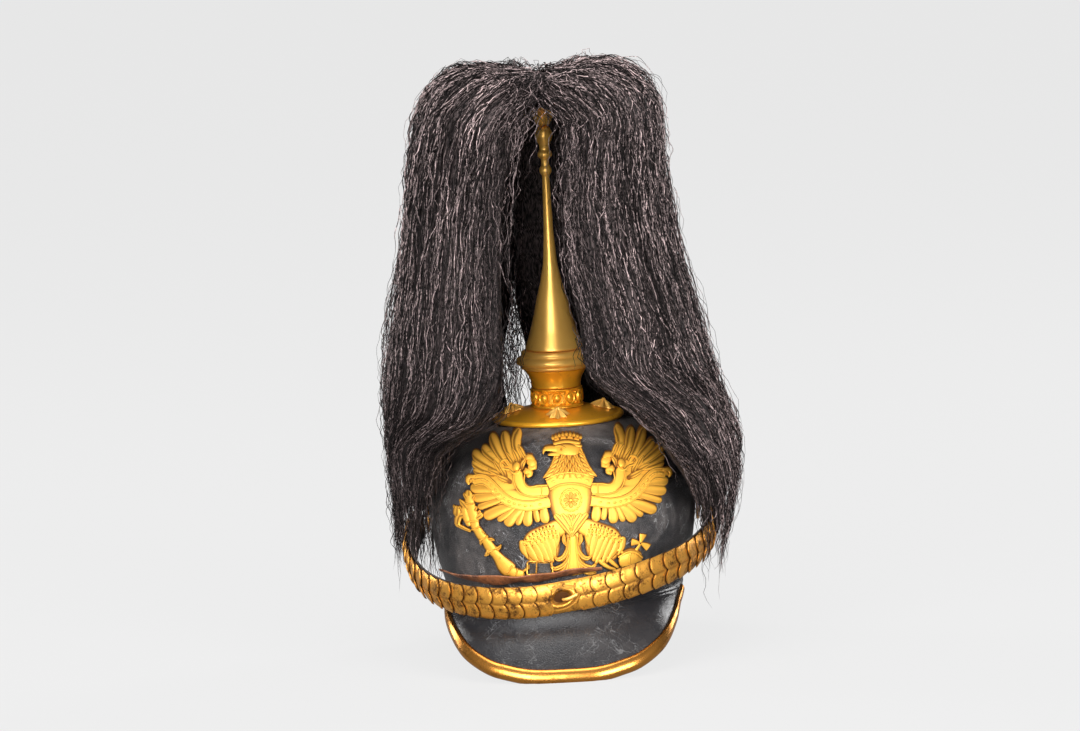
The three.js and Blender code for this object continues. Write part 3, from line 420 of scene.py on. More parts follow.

# %% [markdown]
# Old metal is bright where hands and cloths rub it and brown where they can't reach. The tarnish group
# takes a mask of the low places, which is patina and painted shade both, and adds clouds and pin spots
# to it.

# %% Shared group: tarnish
def build_tarnish():
    """Colour goes from clean to tarnished by clouds plus the low places, whose mask is patina and
    painted shade, then to the dark colour in small spots; Rough rises with both."""
    tree, given, made = new_group(
        "tarnish",
        [("Place", VECTOR, None), ("Clean", COLOUR, None), ("Tarnished", COLOUR, None),
         ("Dark", COLOUR, None), ("Low Places", NUMBER, 0.0), ("Cloud Scale", NUMBER, 90.0),
         ("Cloud Start", NUMBER, 0.6), ("Spot Scale", NUMBER, 420.0),
         ("Spot Start", NUMBER, 0.7), ("Smooth", NUMBER, 0.2), ("Dull", NUMBER, 0.5)],
        [("Color", COLOUR), ("Roughness", NUMBER), ("Height", NUMBER)],
    )
    cloud_end = combine(tree, "ADD", given["Cloud Start"], 0.3)
    cloud = use_group(tree, MOTTLE, Place=given["Place"], Scale=given["Cloud Scale"],
                      Start=given["Cloud Start"], End=cloud_end)
    spot_end = combine(tree, "ADD", given["Spot Start"], 0.12)
    spot = use_group(tree, MOTTLE, Place=given["Place"], Scale=given["Spot Scale"],
                     Start=given["Spot Start"], End=spot_end)
    # dull takes the low places too: patina, and painted shade along edges and overlaps
    dull = combine(tree, "MAXIMUM", cloud["Mask"], given["Low Places"], clamp=True)
    colour = blend_colour(tree, dull, given["Clean"], given["Tarnished"])
    colour = blend_colour(tree, spot["Mask"], colour, given["Dark"])
    worst = combine(tree, "MAXIMUM", dull, spot["Mask"])
    rough = stretch(tree, worst, 0, 1, given["Smooth"], given["Dull"])
    fine = combine(tree, "MULTIPLY", cloud["Fine"], 0.08)
    tree.links.new(colour, made["Color"])
    tree.links.new(combine(tree, "ADD", rough, fine), made["Roughness"])
    tree.links.new(combine(tree, "SUBTRACT", cloud["Fine"], worst), made["Height"])
    return tree


TARNISH = build_tarnish()
print("group:", TARNISH.name)

# %% [markdown]
# Leather grain is a net of small cells with sunken borders, broken up by noise. Scratches are
# thin lines where stretched noise passes through its middle value, kept only in patches.

# %% Shared groups: leather grain and scratches
def build_grain():
    """Height = cell distance of a distorted cell pattern, deepened at the cell borders."""
    tree, given, made = new_group(
        "leather_grain",
        [("Place", VECTOR, None), ("Scale", NUMBER, 900.0), ("Warp", NUMBER, 0.0008)],
        [("Height", NUMBER)],
    )
    bend = noise(tree, given["Place"], combine(tree, "MULTIPLY", given["Scale"], 0.4))
    push = place(tree, "ShaderNodeVectorMath", {0: bend["Color"], 3: given["Warp"]},
                 operation="SCALE")
    bent = place(tree, "ShaderNodeVectorMath",
                 {0: given["Place"], 1: push.outputs[0]}, operation="ADD")
    cells = place(tree, "ShaderNodeTexVoronoi",
                  {"Vector": bent.outputs[0], "Scale": given["Scale"]},
                  feature="DISTANCE_TO_EDGE")
    tree.links.new(stretch(tree, cells.outputs["Distance"], 0, 0.22), made["Height"])
    return tree


def build_scratches():
    """Mask = 1 where noise, stretched along one way, is within Width of one half, times a
    patch mask of larger noise."""
    tree, given, made = new_group(
        "scratches",
        [("Place", VECTOR, None), ("Turn", VECTOR, (0.0, 0.0, 0.0)), ("Scale", NUMBER, 200.0),
         ("Width", NUMBER, 0.01), ("Patches", NUMBER, 0.55)],
        [("Mask", NUMBER)],
    )
    turned = place(tree, "ShaderNodeVectorRotate",
                   {"Vector": given["Place"], "Rotation": given["Turn"]},
                   rotation_type="EULER_XYZ")
    long = place(tree, "ShaderNodeVectorMath",
                 {0: turned.outputs[0], 1: (1.0, 1.0, 0.06)}, operation="MULTIPLY")
    lines = noise(tree, long.outputs[0], given["Scale"], Detail=1.0)["Fac"]
    away = combine(tree, "ABSOLUTE", combine(tree, "SUBTRACT", lines, 0.5))
    thin = combine(tree, "LESS_THAN", away, given["Width"])
    patch = noise(tree, given["Place"], 45.0, Detail=1.0)["Fac"]
    kept = combine(tree, "GREATER_THAN", patch, given["Patches"])
    tree.links.new(combine(tree, "MULTIPLY", thin, kept), made["Mask"])
    return tree


GRAIN = build_grain()
SCRATCHES = build_scratches()
print("groups:", GRAIN.name, SCRATCHES.name)

# %% [markdown]
# The leather of the shell is black, but dust and age leave it a cloudy grey with pale rubs.
# The visor is the same leather, kept shinier, and the strap's lining is a browner one. One
# function makes all three.

# %% Finish: dusty black leather
def new_material(name):
    """An empty material with a Principled shader, and the object's own coordinates."""
    material = bpy.data.materials.new(name)
    material.use_nodes = True
    tree = material.node_tree
    shader = tree.nodes["Principled BSDF"]
    return material, tree, shader, place(tree, "ShaderNodeTexCoord").outputs["Object"]


def feed_bump(tree, shader, height, strength, distance):
    """Puts a height into the shader's normal through a Bump node."""
    bump = place(tree, "ShaderNodeBump",
                 {"Height": height, "Strength": strength, "Distance": distance})
    tree.links.new(bump.outputs["Normal"], shader.inputs["Normal"])


THICK_DUST, PALE_RUB = (0.24, 0.22, 0.215, 1), (0.3, 0.3, 0.3, 1)


def black_leather(name, base, dust, dust_start, dust_end, smooth, dull, grain_depth, rub,
                  dusty_from=None):
    """Base colour dusted by mottling at two sizes, rubbed by scratches, with a fine grain.
    Dust settles on what lies above the height dusty_from, thicker towards the top."""
    material, tree, shader, spot = new_material(name)
    wide = use_group(tree, MOTTLE, Place=spot, Scale=22.0, Start=dust_start, End=dust_end)
    small = use_group(tree, MOTTLE, Place=spot, Scale=130.0, Start=0.62, End=1.05)
    both = combine(tree, "MULTIPLY_ADD", small["Mask"], 0.35, wide["Mask"])
    colour = blend_colour(tree, both, base, dust)
    if dusty_from:
        height = place(tree, "ShaderNodeSeparateXYZ", {"Vector": spot}).outputs["Z"]
        fallen = stretch(tree, height, dusty_from, dusty_from + 0.03, 0, 2.4, "SMOOTHSTEP")
        fallen = combine(tree, "MULTIPLY", fallen, wide["Fine"])
        fallen = combine(tree, "SUBTRACT", fallen, 0.25, clamp=True)
        colour = blend_colour(tree, fallen, colour, THICK_DUST)
    across = use_group(tree, SCRATCHES, Place=spot, Turn=(0.0, 0.7, 0.3), Scale=210.0,
                       Width=0.008, Patches=0.57)
    down = use_group(tree, SCRATCHES, Place=spot, Turn=(0.2, -0.8, 0.5), Scale=170.0,
                     Width=0.007, Patches=0.56)
    marks = combine(tree, "MAXIMUM", across["Mask"], down["Mask"])
    marks = combine(tree, "MULTIPLY", marks, rub)
    colour = blend_colour(tree, marks, colour, PALE_RUB)
    tree.links.new(colour, shader.inputs["Base Color"])
    tree.links.new(stretch(tree, both, 0, 1.2, smooth, dull), shader.inputs["Roughness"])
    skin = use_group(tree, GRAIN, Place=spot, Scale=700.0, Warp=0.0012)
    height = combine(tree, "MULTIPLY_ADD", small["Fine"], 0.8, skin["Height"])
    height = combine(tree, "SUBTRACT", height, marks)
    feed_bump(tree, shader, height, grain_depth, 0.0004)
    return material


LEATHERS = (
    # name, leather, dust, where dust starts and is full, roughness clean and dusty, depth of the
    # grain, strength of the rubs, height in metres above which more dust lies
    ("dusty_shell_leather", (0.016, 0.0155, 0.017, 1), (0.1, 0.089, 0.086, 1), 0.6, 1.05,
     0.42, 0.7, 0.6, 0.7, 0.14),
    ("visor_leather", (0.014, 0.0135, 0.015, 1), (0.026, 0.023, 0.023, 1), 0.62, 1.1,
     0.2, 0.34, 0.16, 0.2),
    ("strap_lining_leather", (0.02, 0.015, 0.012, 1), (0.09, 0.075, 0.06, 1), 0.7, 1.1,
     0.5, 0.8, 0.5, 0.15),
)
SHELL_LEATHER, VISOR_LEATHER, LINING_LEATHER = (black_leather(*row) for row in LEATHERS)
print("leather:", *(row[0] for row in LEATHERS))

# %% [markdown]
# All the gilt and brass is one recipe at different ages: nearly clean on the spike, brown in the low
# places of the chin scales, and frosted on the front plate. Each piece carries a number per point, low,
# for its hollows, overlaps and edges; there the metal takes the tarnished colour, which is patina and,
# on the chin scales and the front plate, painted shade as well.

# %% Finish: brass of several ages
def brass(name, clean, tarnished, dark, smooth, dull, cloud, cloud_start, spots, spot_start,
          bump, metallic):
    """Metal coloured by the tarnish group, which reads the piece's own low attribute, patina and painted
    shade.
    """
    material, tree, shader, spot = new_material(name)
    low = place(tree, "ShaderNodeAttribute", attribute_name="low").outputs["Fac"]
    aged = use_group(tree, TARNISH, Place=spot, Clean=clean, Tarnished=tarnished, Dark=dark,
                     Low_Places=low, Cloud_Scale=cloud, Cloud_Start=cloud_start,
                     Spot_Scale=spots, Spot_Start=spot_start, Smooth=smooth, Dull=dull)
    tree.links.new(aged["Color"], shader.inputs["Base Color"])
    tree.links.new(aged["Roughness"], shader.inputs["Roughness"])
    shader.inputs["Metallic"].default_value = metallic
    feed_bump(tree, shader, aged["Height"], bump, 0.0003)
    return material


BRASSES = (
    # name, clean, tarnished and dark colours, roughness clean and dull, clouds' scale and start,
    # spots' scale and start, depth of the bump, how metallic
    ("polished_gilt", (0.98, 0.55, 0.12, 1), (0.6, 0.25, 0.04, 1), (0.12, 0.05, 0.012, 1),
     0.3, 0.45, 40.0, 0.8, 520.0, 0.97, 0.12, 0.58),
    ("warm_tarnished_gilt", (0.98, 0.46, 0.03, 1), (0.62, 0.2, 0.012, 1), (0.05, 0.018, 0.005, 1),
     0.26, 0.42, 75.0, 0.78, 330.0, 0.93, 0.2, 0.52),
    # On the front plate the tarnished colour is mostly painted shade, along the edges and grooves of the
    # strokes.
    ("frosted_gilt", (0.96, 0.49, 0.06, 1), (0.2, 0.065, 0.004, 1), (0.12, 0.045, 0.006, 1),
     0.48, 0.58, 120.0, 0.84, 420.0, 1.0, 0.25, 0.42),
    # On the chin scales the tarnished colour is patina and painted shade under each overlap.
    ("aged_brass", (0.74, 0.35, 0.055, 1), (0.07, 0.025, 0.006, 1), (0.045, 0.02, 0.009, 1),
     0.33, 0.6, 110.0, 0.66, 380.0, 0.88, 0.35, 0.85),
    ("worn_trim_brass", (0.6, 0.26, 0.05, 1), (0.2, 0.075, 0.013, 1), (0.06, 0.025, 0.008, 1),
     0.2, 0.4, 60.0, 0.72, 480.0, 0.97, 0.04, 1.0),
)
POLISHED, WARM, FROSTED, AGED, WORN = (brass(*row) for row in BRASSES)
print("brass:", *(row[0] for row in BRASSES))

# %% [markdown]
# Two finishes are left. Brown strap leather is mottled, rubbed pale in spots and finely grained.
# Horsehair is dark with a soft shine, part of it painted into the colour as pale streaks, dashes and
# crimp flanks. Every hair body carries a place pair, across and along in millimetres, so that fine
# streaks can follow the hair and bend with its crimp.

# %% Finishes: brown leather and horsehair
BROWN, DARK_BROWN = (0.3, 0.1, 0.033, 1), (0.08, 0.027, 0.012, 1)
PALE_BROWN = (0.36, 0.17, 0.08, 1)
# The pale hair colour is both grey hair and painted highlight.
HAIR_DARK, HAIR_GREY_AND_SHEEN = (0.002, 0.0014, 0.0014, 1), (0.72, 0.55, 0.54, 1)
CRIMP_LENGTH = 7.0


def brown_leather(name):
    """Reddish brown, darker in clouds, rubbed pale in small spots, with a fine grain."""
    material, tree, shader, spot = new_material(name)
    clouds = use_group(tree, MOTTLE, Place=spot, Scale=110.0, Start=0.5, End=0.95)
    rubbed = use_group(tree, MOTTLE, Place=spot, Scale=260.0, Start=0.78, End=1.05)
    colour = blend_colour(tree, clouds["Mask"], BROWN, DARK_BROWN)
    colour = blend_colour(tree, rubbed["Mask"], colour, PALE_BROWN)
    tree.links.new(colour, shader.inputs["Base Color"])
    shader.inputs["Roughness"].default_value = 0.5
    skin = use_group(tree, GRAIN, Place=spot, Scale=1100.0, Warp=0.0008)
    feed_bump(tree, shader, skin["Height"], 0.4, 0.0003)
    return material


def horsehair(name):
    """Two noises are drawn out along the hair, one into streaks and one into short dashes. Their place
    across is shifted by the crimp sin(2π·along/length + slow noise). Both together, the crimp and the
    hair's own tone set how grey it is, and they raise the surface. The pale streaks, the short dashes
    and the crimp's bright flank are painted highlights for the shine of crimped hair, mixed with the
    hair's own random tone."""
    material, tree, shader, _ = new_material(name)
    pair = place(tree, "ShaderNodeUVMap", uv_map="UVMap").outputs["UV"]
    parts = place(tree, "ShaderNodeSeparateXYZ", {"Vector": pair}).outputs
    slow = combine(tree, "MULTIPLY", noise(tree, pair, 0.06, Detail=1.0)["Fac"], 40.0)
    turn = combine(tree, "MULTIPLY_ADD", parts["Y"], 2 * math.pi / CRIMP_LENGTH, slow)
    crimp = combine(tree, "SINE", turn)
    across = combine(tree, "MULTIPLY_ADD", crimp, 0.6, parts["X"])
    # The streaks and dashes are the hair's random tone and painted highlights both.
    streak_and_sheen_noises = []
    for drawn_out, scale in ((0.05, 1.1), (0.3, 0.95)):
        along = combine(tree, "MULTIPLY", parts["Y"], drawn_out)
        spot = place(tree, "ShaderNodeCombineXYZ", {"X": across, "Y": along}).outputs[0]
        streak_and_sheen_noises.append(noise(tree, spot, scale, Detail=3.0, Roughness=0.6)["Fac"])
    both = combine(tree, "MULTIPLY", combine(tree, "ADD", streak_and_sheen_noises[0], streak_and_sheen_noises[1]), 0.5)
    tone = place(tree, "ShaderNodeAttribute", attribute_name="tone").outputs["Fac"]
    share = stretch(tree, both, 0.43, 0.62, steps="SMOOTHSTEP")
    # Painted highlight: the crimp's sine brightens one flank of every wave.
    share = combine(tree, "MULTIPLY_ADD", crimp, 0.12, share)
    share = combine(tree, "MULTIPLY", share, combine(tree, "ADD", tone, 0.03), clamp=True)
    colour = blend_colour(tree, share, HAIR_DARK, HAIR_GREY_AND_SHEEN)
    tree.links.new(colour, shader.inputs["Base Color"])
    tree.links.new(stretch(tree, share, 0, 1, 0.6, 0.36), shader.inputs["Roughness"])
    shader.inputs["Specular IOR Level"].default_value = 0.12
    feed_bump(tree, shader, combine(tree, "MULTIPLY_ADD", crimp, 0.25, both), 0.8, 0.0007)
    return material


BROWN_LEATHER = brown_leather("worn_brown_leather")
HORSEHAIR = horsehair("black_horsehair")
print("hair and strap:", HORSEHAIR.name, BROWN_LEATHER.name)

# %% [markdown]
# The shell is a leather dome, longer than it is wide. It could be a squashed sphere, but a real
# one bulges low down and flattens on top, so it is a profile of ellipses: each level gives a
# height, half a width and half a length, and a smooth curve joins the levels.

# %% Shell: the dome as a function
SHELL_WALL = 2.6
SHELL_PROFILE = np.array([
    (50, 80, 103), (60, 82.6, 105), (75, 86, 107), (92, 88.4, 108), (105, 88.7, 107),
    (118, 86.6, 103.5), (130, 81, 95.5), (140, 72.5, 84), (148, 61, 69.5), (154, 47, 51.5),
    (158, 32, 33.5), (160.2, 16, 16), (161, 0, 0),
])
FINE_LEVEL = np.linspace(0, len(SHELL_PROFILE) - 1, 601)
SHELL_FINE = smooth_read(np.arange(len(SHELL_PROFILE)), SHELL_PROFILE, FINE_LEVEL)
SHELL_SLOPE = np.gradient(SHELL_FINE, FINE_LEVEL, axis=0)


def shell_at(angle, level, rise=0.0):
    """Point of the dome, an ellipse at each level: x = width·sin(angle), y = -length·cos(angle),
    moved out by rise along the normal. The angle runs from the front to the right."""
    angle, level = np.broadcast_arrays(np.asarray(angle, float), np.asarray(level, float))
    z, a, b = (np.interp(level, FINE_LEVEL, SHELL_FINE[:, k]) for k in range(3))
    safe = np.minimum(level, FINE_LEVEL[-3])
    dz, da, db = (np.interp(safe, FINE_LEVEL, SHELL_SLOPE[:, k]) for k in range(3))
    wide, long = (np.interp(safe, FINE_LEVEL, SHELL_FINE[:, k]) for k in (1, 2))
    sine, cosine = np.sin(angle), np.cos(angle)
    around = np.stack([wide * cosine, long * sine, 0 * z], -1)
    upward = np.stack([da * sine, -db * cosine, dz], -1)
    normal = unit(np.cross(around, upward))
    point = np.stack([a * sine, -b * cosine, z], -1)
    return point + np.asarray(rise)[..., None] * normal


def front_of_shell(x, z):
    """Point and normal of the dome's front where it is seen at (x, z): y = -length·√(1-(x/width)²),
    and the normal is the slope of (x/width)² + (y/length)²."""
    heights = SHELL_FINE[:, 0]
    a, b = (np.interp(z, heights, SHELL_FINE[:, k]) for k in (1, 2))
    slopes = SHELL_SLOPE[:, 1:] / np.maximum(SHELL_SLOPE[:, :1], 1e-6)
    da, db = (np.interp(z, heights, slopes[:, k]) for k in (0, 1))
    y = -b * np.sqrt(np.maximum(1 - (x / a) ** 2, 0.01))
    lift = -(x * x * da / a**3 + y * y * db / b**3)
    return np.stack([x, y, z], -1), unit(np.stack([x / a**2, y / b**2, lift], -1))


def over_shell(x, z, rise):
    """Point seen from the front at (x, z) that stands rise above the dome. The foot of the rise
    is found by stepping back from the point along the normal, five times over."""
    x, z, rise = np.broadcast_arrays(*(np.asarray(v, float) for v in (x, z, rise)))
    foot_x, foot_z = x, z
    for _ in range(5):
        _, normal = front_of_shell(foot_x, foot_z)
        foot_x = x - rise * normal[..., 0]
        foot_z = z - rise * normal[..., 2]
    point, normal = front_of_shell(foot_x, foot_z)
    return point + rise[..., None] * normal


print("shell profile:", len(SHELL_PROFILE), "levels")

# %% [markdown]
# Old leather is never a perfect surface, so the outer grid is pushed in and out by a fraction
# of a millimetre with slow waves. The inner grid stays plain.

# %% Shell: the leather body
SHELL_AROUND, SHELL_UP = 144, 62


def slow_waves(points, size, seed):
    """A smooth pseudo-random height between -1 and 1: the mean of sines along six random
    directions, each with its own phase."""
    draw = np.random.default_rng(seed)
    ways = unit(draw.normal(size=(6, 3))) * 2 * np.pi / size
    phases = draw.uniform(0, 2 * np.pi, 6)
    return np.sin(points @ ways.T * draw.uniform(0.6, 1.6, 6) + phases).mean(-1)


def shell_body():
    """Outer and inner dome, closed round the rim. The levels crowd towards the rim."""
    angle = circle(SHELL_AROUND)[:, None]
    level = np.linspace(0, len(SHELL_PROFILE) - 1, SHELL_UP)[None, :]
    plain = shell_at(angle, level)
    fade = blend_step(0, 1, level) * (1 - blend_step(7.5, 8.5, level))
    outer = shell_at(angle, level, 0.35 * fade * slow_waves(plain, 46, 3))
    inner = shell_at(angle, level, -SHELL_WALL)
    inner[:, 0, 2] = SHELL_PROFILE[0, 0]
    return sheet_bodies(outer, inner, close_rows=True)


make_piece("shell_leather_dome", shell_body(), SHELL_LEATHER, ["shell"])

# %% [markdown]
# The visor and the neck guard are both stiff leather sheets that leave the rim and run out to
# a free edge. Each station across a sheet joins a point of the rim to a point of the edge by
# a shallow parabola. Two pressed lines follow the visor's seam.

# %% Visor and neck guard
PEAK_WALL = 2.5
PEAK_BULGE, FULL_BULGE_DROP = 3.0, 40.0
PEAK_GAP = 0.3
PEAK_ACROSS, PEAK_DOWN = 121, 40
SEAM_LINES, GUARD_SEAM_LINES = (5.2, 8.0), (3.6,)
SEAM_DEPTH, SEAM_HALF_WIDTH = 0.55, 0.75
PEAK_SIDE_SHIFT, FULL_SHIFT_DROP = -3.7, 20.0
FRONT_PEAK = np.array([  # rim angle in degrees, and the free edge's x, y and z
    (0, 0, 140, 0), (6, 14, 139.5, 0.1), (11, 25, 138, 0.8), (16, 37, 134.2, 3),
    (24, 52.5, 126.4, 7.4), (35, 67.4, 110.4, 16.6), (47, 75.6, 86, 28), (58, 78.6, 60, 37),
    (67, 79.6, 40, 44), (74, 79.4, 27, 48.4),
])
REAR_PEAK = np.array([
    (0, 0, 139, 0), (10, 22, 138, 0), (18, 38, 133.2, 0.2), (27, 52, 123.4, 6.2),
    (38, 65.5, 106, 17), (50, 75.5, 80, 29.5), (62, 80.2, 53, 40.5), (74, 79.4, 27, 48.4),
])


def peak_bulge(drop):
    """Rise of a peak's parabola: it grows with the way from rim to edge, up to the full one."""
    return PEAK_BULGE * np.minimum(1, drop / FULL_BULGE_DROP)


def peak_stations(table, facing, across):
    """Rim point, free edge point and sheet normal at each place across a peak, -1 to 1.
    facing -1 is the front. The front peak's edge sits a little to one side."""
    rows = smooth_read(np.arange(len(table)), table, np.abs(across) * (len(table) - 1))
    side, turn = np.sign(across), np.radians(rows[:, 0])
    level, wide, long = SHELL_PROFILE[0]
    rim = np.stack([side * wide * np.sin(turn), facing * long * np.cos(turn),
                    0 * turn + level - PEAK_GAP], -1)
    edge = np.stack([side * rows[:, 1], facing * rows[:, 2], rows[:, 3]], -1)
    if facing < 0:
        drop = np.linalg.norm(edge - rim, axis=-1)
        edge[:, 0] += PEAK_SIDE_SHIFT * np.minimum(drop / FULL_SHIFT_DROP, 1)
    along = np.stack([-facing * np.cos(turn), side * np.sin(turn), 0 * turn], -1)
    normal = unit(np.cross(edge - rim, along))
    normal *= np.where(normal[:, 2:] < 0, -1, 1)
    return rim, edge, normal


def peak_body(table, facing, set_back, level, seams):
    """Sheet whose upper side is rim + t·fall + 4·bulge·t(1-t) along the normal, pressed in at
    the seam lines, and whose lower side lies one wall below. Nothing goes under level."""
    rim, edge, normal = peak_stations(table, facing, np.linspace(-1, 1, PEAK_ACROSS))
    drop = np.linalg.norm(edge - rim, axis=-1)[:, None]
    edge = edge - unit(edge - rim) * set_back
    t = np.linspace(0, 1, PEAK_DOWN)[None, :]
    bulge = peak_bulge(drop) * 4 * t * (1 - t)
    base = rim[:, None] + (edge - rim)[:, None] * t[..., None]
    upper = base + bulge[..., None] * normal[:, None]
    press = sum(np.exp(-(((t * drop - line) / SEAM_HALF_WIDTH) ** 2)) for line in seams)
    wave = 0.3 * slow_waves(upper, 40, 8) * blend_step(0, 0.3, t) * (1 - blend_step(0.7, 1, t))
    outer = upper + (wave - SEAM_DEPTH * np.minimum(press, 1))[..., None] * normal[:, None]
    inner = upper - PEAK_WALL * normal[:, None]
    inner[:, 0, 2] = upper[:, 0, 2]
    outer[..., 2] = np.maximum(outer[..., 2], level)
    inner[..., 2] = np.maximum(inner[..., 2], level)
    return sheet_bodies(outer, inner)


TRIM_SHEET = 1.0
TRIM_FLOOR = TRIM_SHEET + 0.3
visor = peak_body(FRONT_PEAK, -1, TRIM_FLOOR, TRIM_FLOOR, SEAM_LINES)
make_piece("visor_leather_sheet", visor, VISOR_LEATHER, ["front_visor"])
guard = peak_body(REAR_PEAK, 1, 0.0, 0.0, GUARD_SEAM_LINES)
make_piece("neck_guard_sheet", guard, SHELL_LEATHER, ["neck_guard"])

# %% [markdown]
# A folded brass trim grips the visor's free edge. Its section is a narrow U whose upper leaf
# swells to a half-round moulding, carried along the edge; it narrows towards the sides.

# %% Visor trim
TRIM_ACROSS = 161
TRIM_SHORTEST_PEAK = 9.0
TRIM_SECTION = np.array([  # outer side: distance back from the edge, height over the leather
    (9.5, 0.35), (9.5, 1.0), (9.2, 1.6), (8.4, 2.15), (7.3, 2.5), (6.0, 2.65), (4.7, 2.6),
    (3.4, 2.35), (2.3, 1.95), (1.3, 1.35), (0.5, 0.6), (0.05, -0.5), (0.0, -1.8),
    (0.3, -3.0), (1.0, -3.65), (2.2, -3.8), (5.5, -3.8),
])
TRIM_INSIDE = np.array([
    (9.5, 0.3), (9.4, 0.35), (8.9, 0.75), (8.2, 1.15), (7.2, 1.5), (6.0, 1.62), (4.8, 1.58),
    (3.6, 1.35), (2.6, 1.0), (2.1, 0.5), (1.4, -0.1), (1.05, -0.8), (1.0, -1.7),
    (1.1, -2.4), (1.6, -2.8), (2.4, -2.8), (5.5, -2.8),
])


def trim_body():
    """Each station lays the section out from the edge point: back along the sheet's fall and
    up along its normal. Wide distances shrink with the peak's drop."""
    across = np.linspace(-1, 1, TRIM_ACROSS)
    rim, edge, normal = peak_stations(FRONT_PEAK, -1, across)
    drop = np.linalg.norm(edge - rim, axis=-1)
    keep = drop > TRIM_SHORTEST_PEAK
    rim, edge, normal, drop = rim[keep], edge[keep], normal[keep], drop[keep]
    fall = unit(edge - rim - 3 * peak_bulge(drop)[:, None] * normal)
    narrow = np.minimum(0.6 + 0.4 * (drop - 10) / 35, 1)[:, None]

    def lay(section, level):
        back = np.where(section[:, 0] > 2, section[:, 0] * narrow, section[:, 0])
        point = edge[:, None] - back[..., None] * fall[:, None]
        point = point + section[:, 1][None, :, None] * normal[:, None]
        point[..., 2] = np.maximum(point[..., 2], level)
        return point

    return sheet_bodies(lay(TRIM_SECTION, 0.0), lay(TRIM_INSIDE, TRIM_SHEET))


make_piece("visor_brass_trim", trim_body(), WORN, ["visor_trim"])

# %% [markdown]
# The plume holder is turned brass: a half profile swept round the upright axis. A turned
# corner is never knife sharp, so every corner of a profile is first cut by a small curve.

# %% Turned pieces: profiles and bodies
TURNED_AROUND = 96


def soften(corners, reach, steps=4):
    """Profile with each inner corner replaced by the parabola (1-t)²·start + 2t(1-t)·corner
    + t²·end, whose ends lie at most reach away along the two sides."""
    corners = np.asarray(corners, float)
    t = np.linspace(0, 1, steps)[:, None]
    pieces = [corners[:1]]
    for before, corner, after in zip(corners, corners[1:], corners[2:]):
        sides = [before - corner, after - corner]
        cut = min([reach] + [0.45 * np.linalg.norm(side) for side in sides])
        start, end = (corner + unit(side) * cut for side in sides)
        pieces.append((1 - t) ** 2 * start + 2 * t * (1 - t) * corner + t * t * end)
    pieces.append(corners[-1:])
    return np.concatenate(pieces)


def turned_body(profile, reach=0.5, around=TURNED_AROUND):
    """Grid of the profile's (radius, height) rows round the Z axis: x = r·sin, y = -r·cos.
    Both ends lie on the axis, where the welded points close the body."""
    rows = soften(profile, reach)
    angle = circle(around)[:, None]
    radius, height = rows[:, 0][None], rows[:, 1][None]
    x, y = radius * np.sin(angle), -radius * np.cos(angle)
    points = np.stack(np.broadcast_arrays(x, y, height), -1)
    return points.reshape(-1, 3), grid_quads(around, len(rows), close_rows=True)


SPIKE_NECK = [
    (0, 178.3), (16.6, 178.3), (16.4, 180.4), (17.2, 184), (19, 187.6), (21.4, 190.7),
    (0, 190.7),
]
SPIKE_COLLAR = [
    (0, 191), (22.6, 191), (23.6, 192.2), (23.4, 193.4), (25.6, 194.2), (26.4, 196.2),
    (25.2, 198.4), (22.2, 199.8), (22.8, 201.4), (21.8, 203), (20, 203.4), (0, 203.4),
]
SPIKE_CONE = [
    (0, 203.7), (19.8, 203.7), (18.4, 208), (15.3, 217), (12.6, 227.5), (10, 239), (6.9, 250),
    (4.8, 261), (3.2, 284), (2.4, 320), (4.1, 322), (4.1, 325), (2.7, 327), (2.7, 331.4),
    (5, 333), (5, 335.4), (3.1, 337.4), (3.6, 341), (6.1, 345.4), (5.6, 350), (3.2, 353.4),
    (0, 353.4),
]
PLUME_CUP = [
    (0, 353.8), (4, 353.8), (5.7, 357), (7.4, 360.6), (11, 364), (15.2, 366.6), (15.2, 368),
    (13.8, 368), (9.8, 365.2), (5, 362.6), (0, 361.6),
]
for name, profile, corner, finish, slot in (
    ("neck", SPIKE_NECK, 2.2, WARM, "dark_brass"),
    ("collar", SPIKE_COLLAR, 0.9, POLISHED, "polished_brass"),
    ("cone", SPIKE_CONE, 2.4, POLISHED, "polished_brass"),
):
    make_piece(f"plume_spike_{name}", turned_body(profile, corner), finish, [f"spike_{name}"])
make_piece("plume_spike_cup", turned_body(PLUME_CUP, 1.2), POLISHED,
           ["plume_cup"])

# %% [markdown]
# The base plate is a shallow disc with a rolled edge. Its underside follows the top of the
# shell, so that height has to be found from the place in plan: a level whose ellipse passes
# through the place, closed in on by halving the span of levels.

# %% Base plate
PLATE_GAP = 0.5
BASE_PLATE = [
    (43.0, 156.6), (43.9, 157.3), (44.2, 158.2), (43.9, 159.3), (43.1, 160.1), (42.2, 160.3),
    (41.2, 160.1), (40.5, 159.6), (39.4, 160.0), (33, 162.2), (25, 164.2), (19, 165.2),
    (0, 165.2),
]


def shell_top(x, y):
    """Height of the dome's upper side over a point of the plan."""
    low = np.full(np.shape(x), 4.0)
    high = np.full(np.shape(x), float(len(SHELL_PROFILE) - 1))
    for _ in range(30):
        middle = (low + high) / 2
        a, b = (np.interp(middle, FINE_LEVEL, SHELL_FINE[:, k]) for k in (1, 2))
        inside = (x / np.maximum(a, 1e-6)) ** 2 + (y / np.maximum(b, 1e-6)) ** 2 < 1
        low, high = np.where(inside, middle, low), np.where(inside, high, middle)
    return np.interp(low, FINE_LEVEL, SHELL_FINE[:, 0])


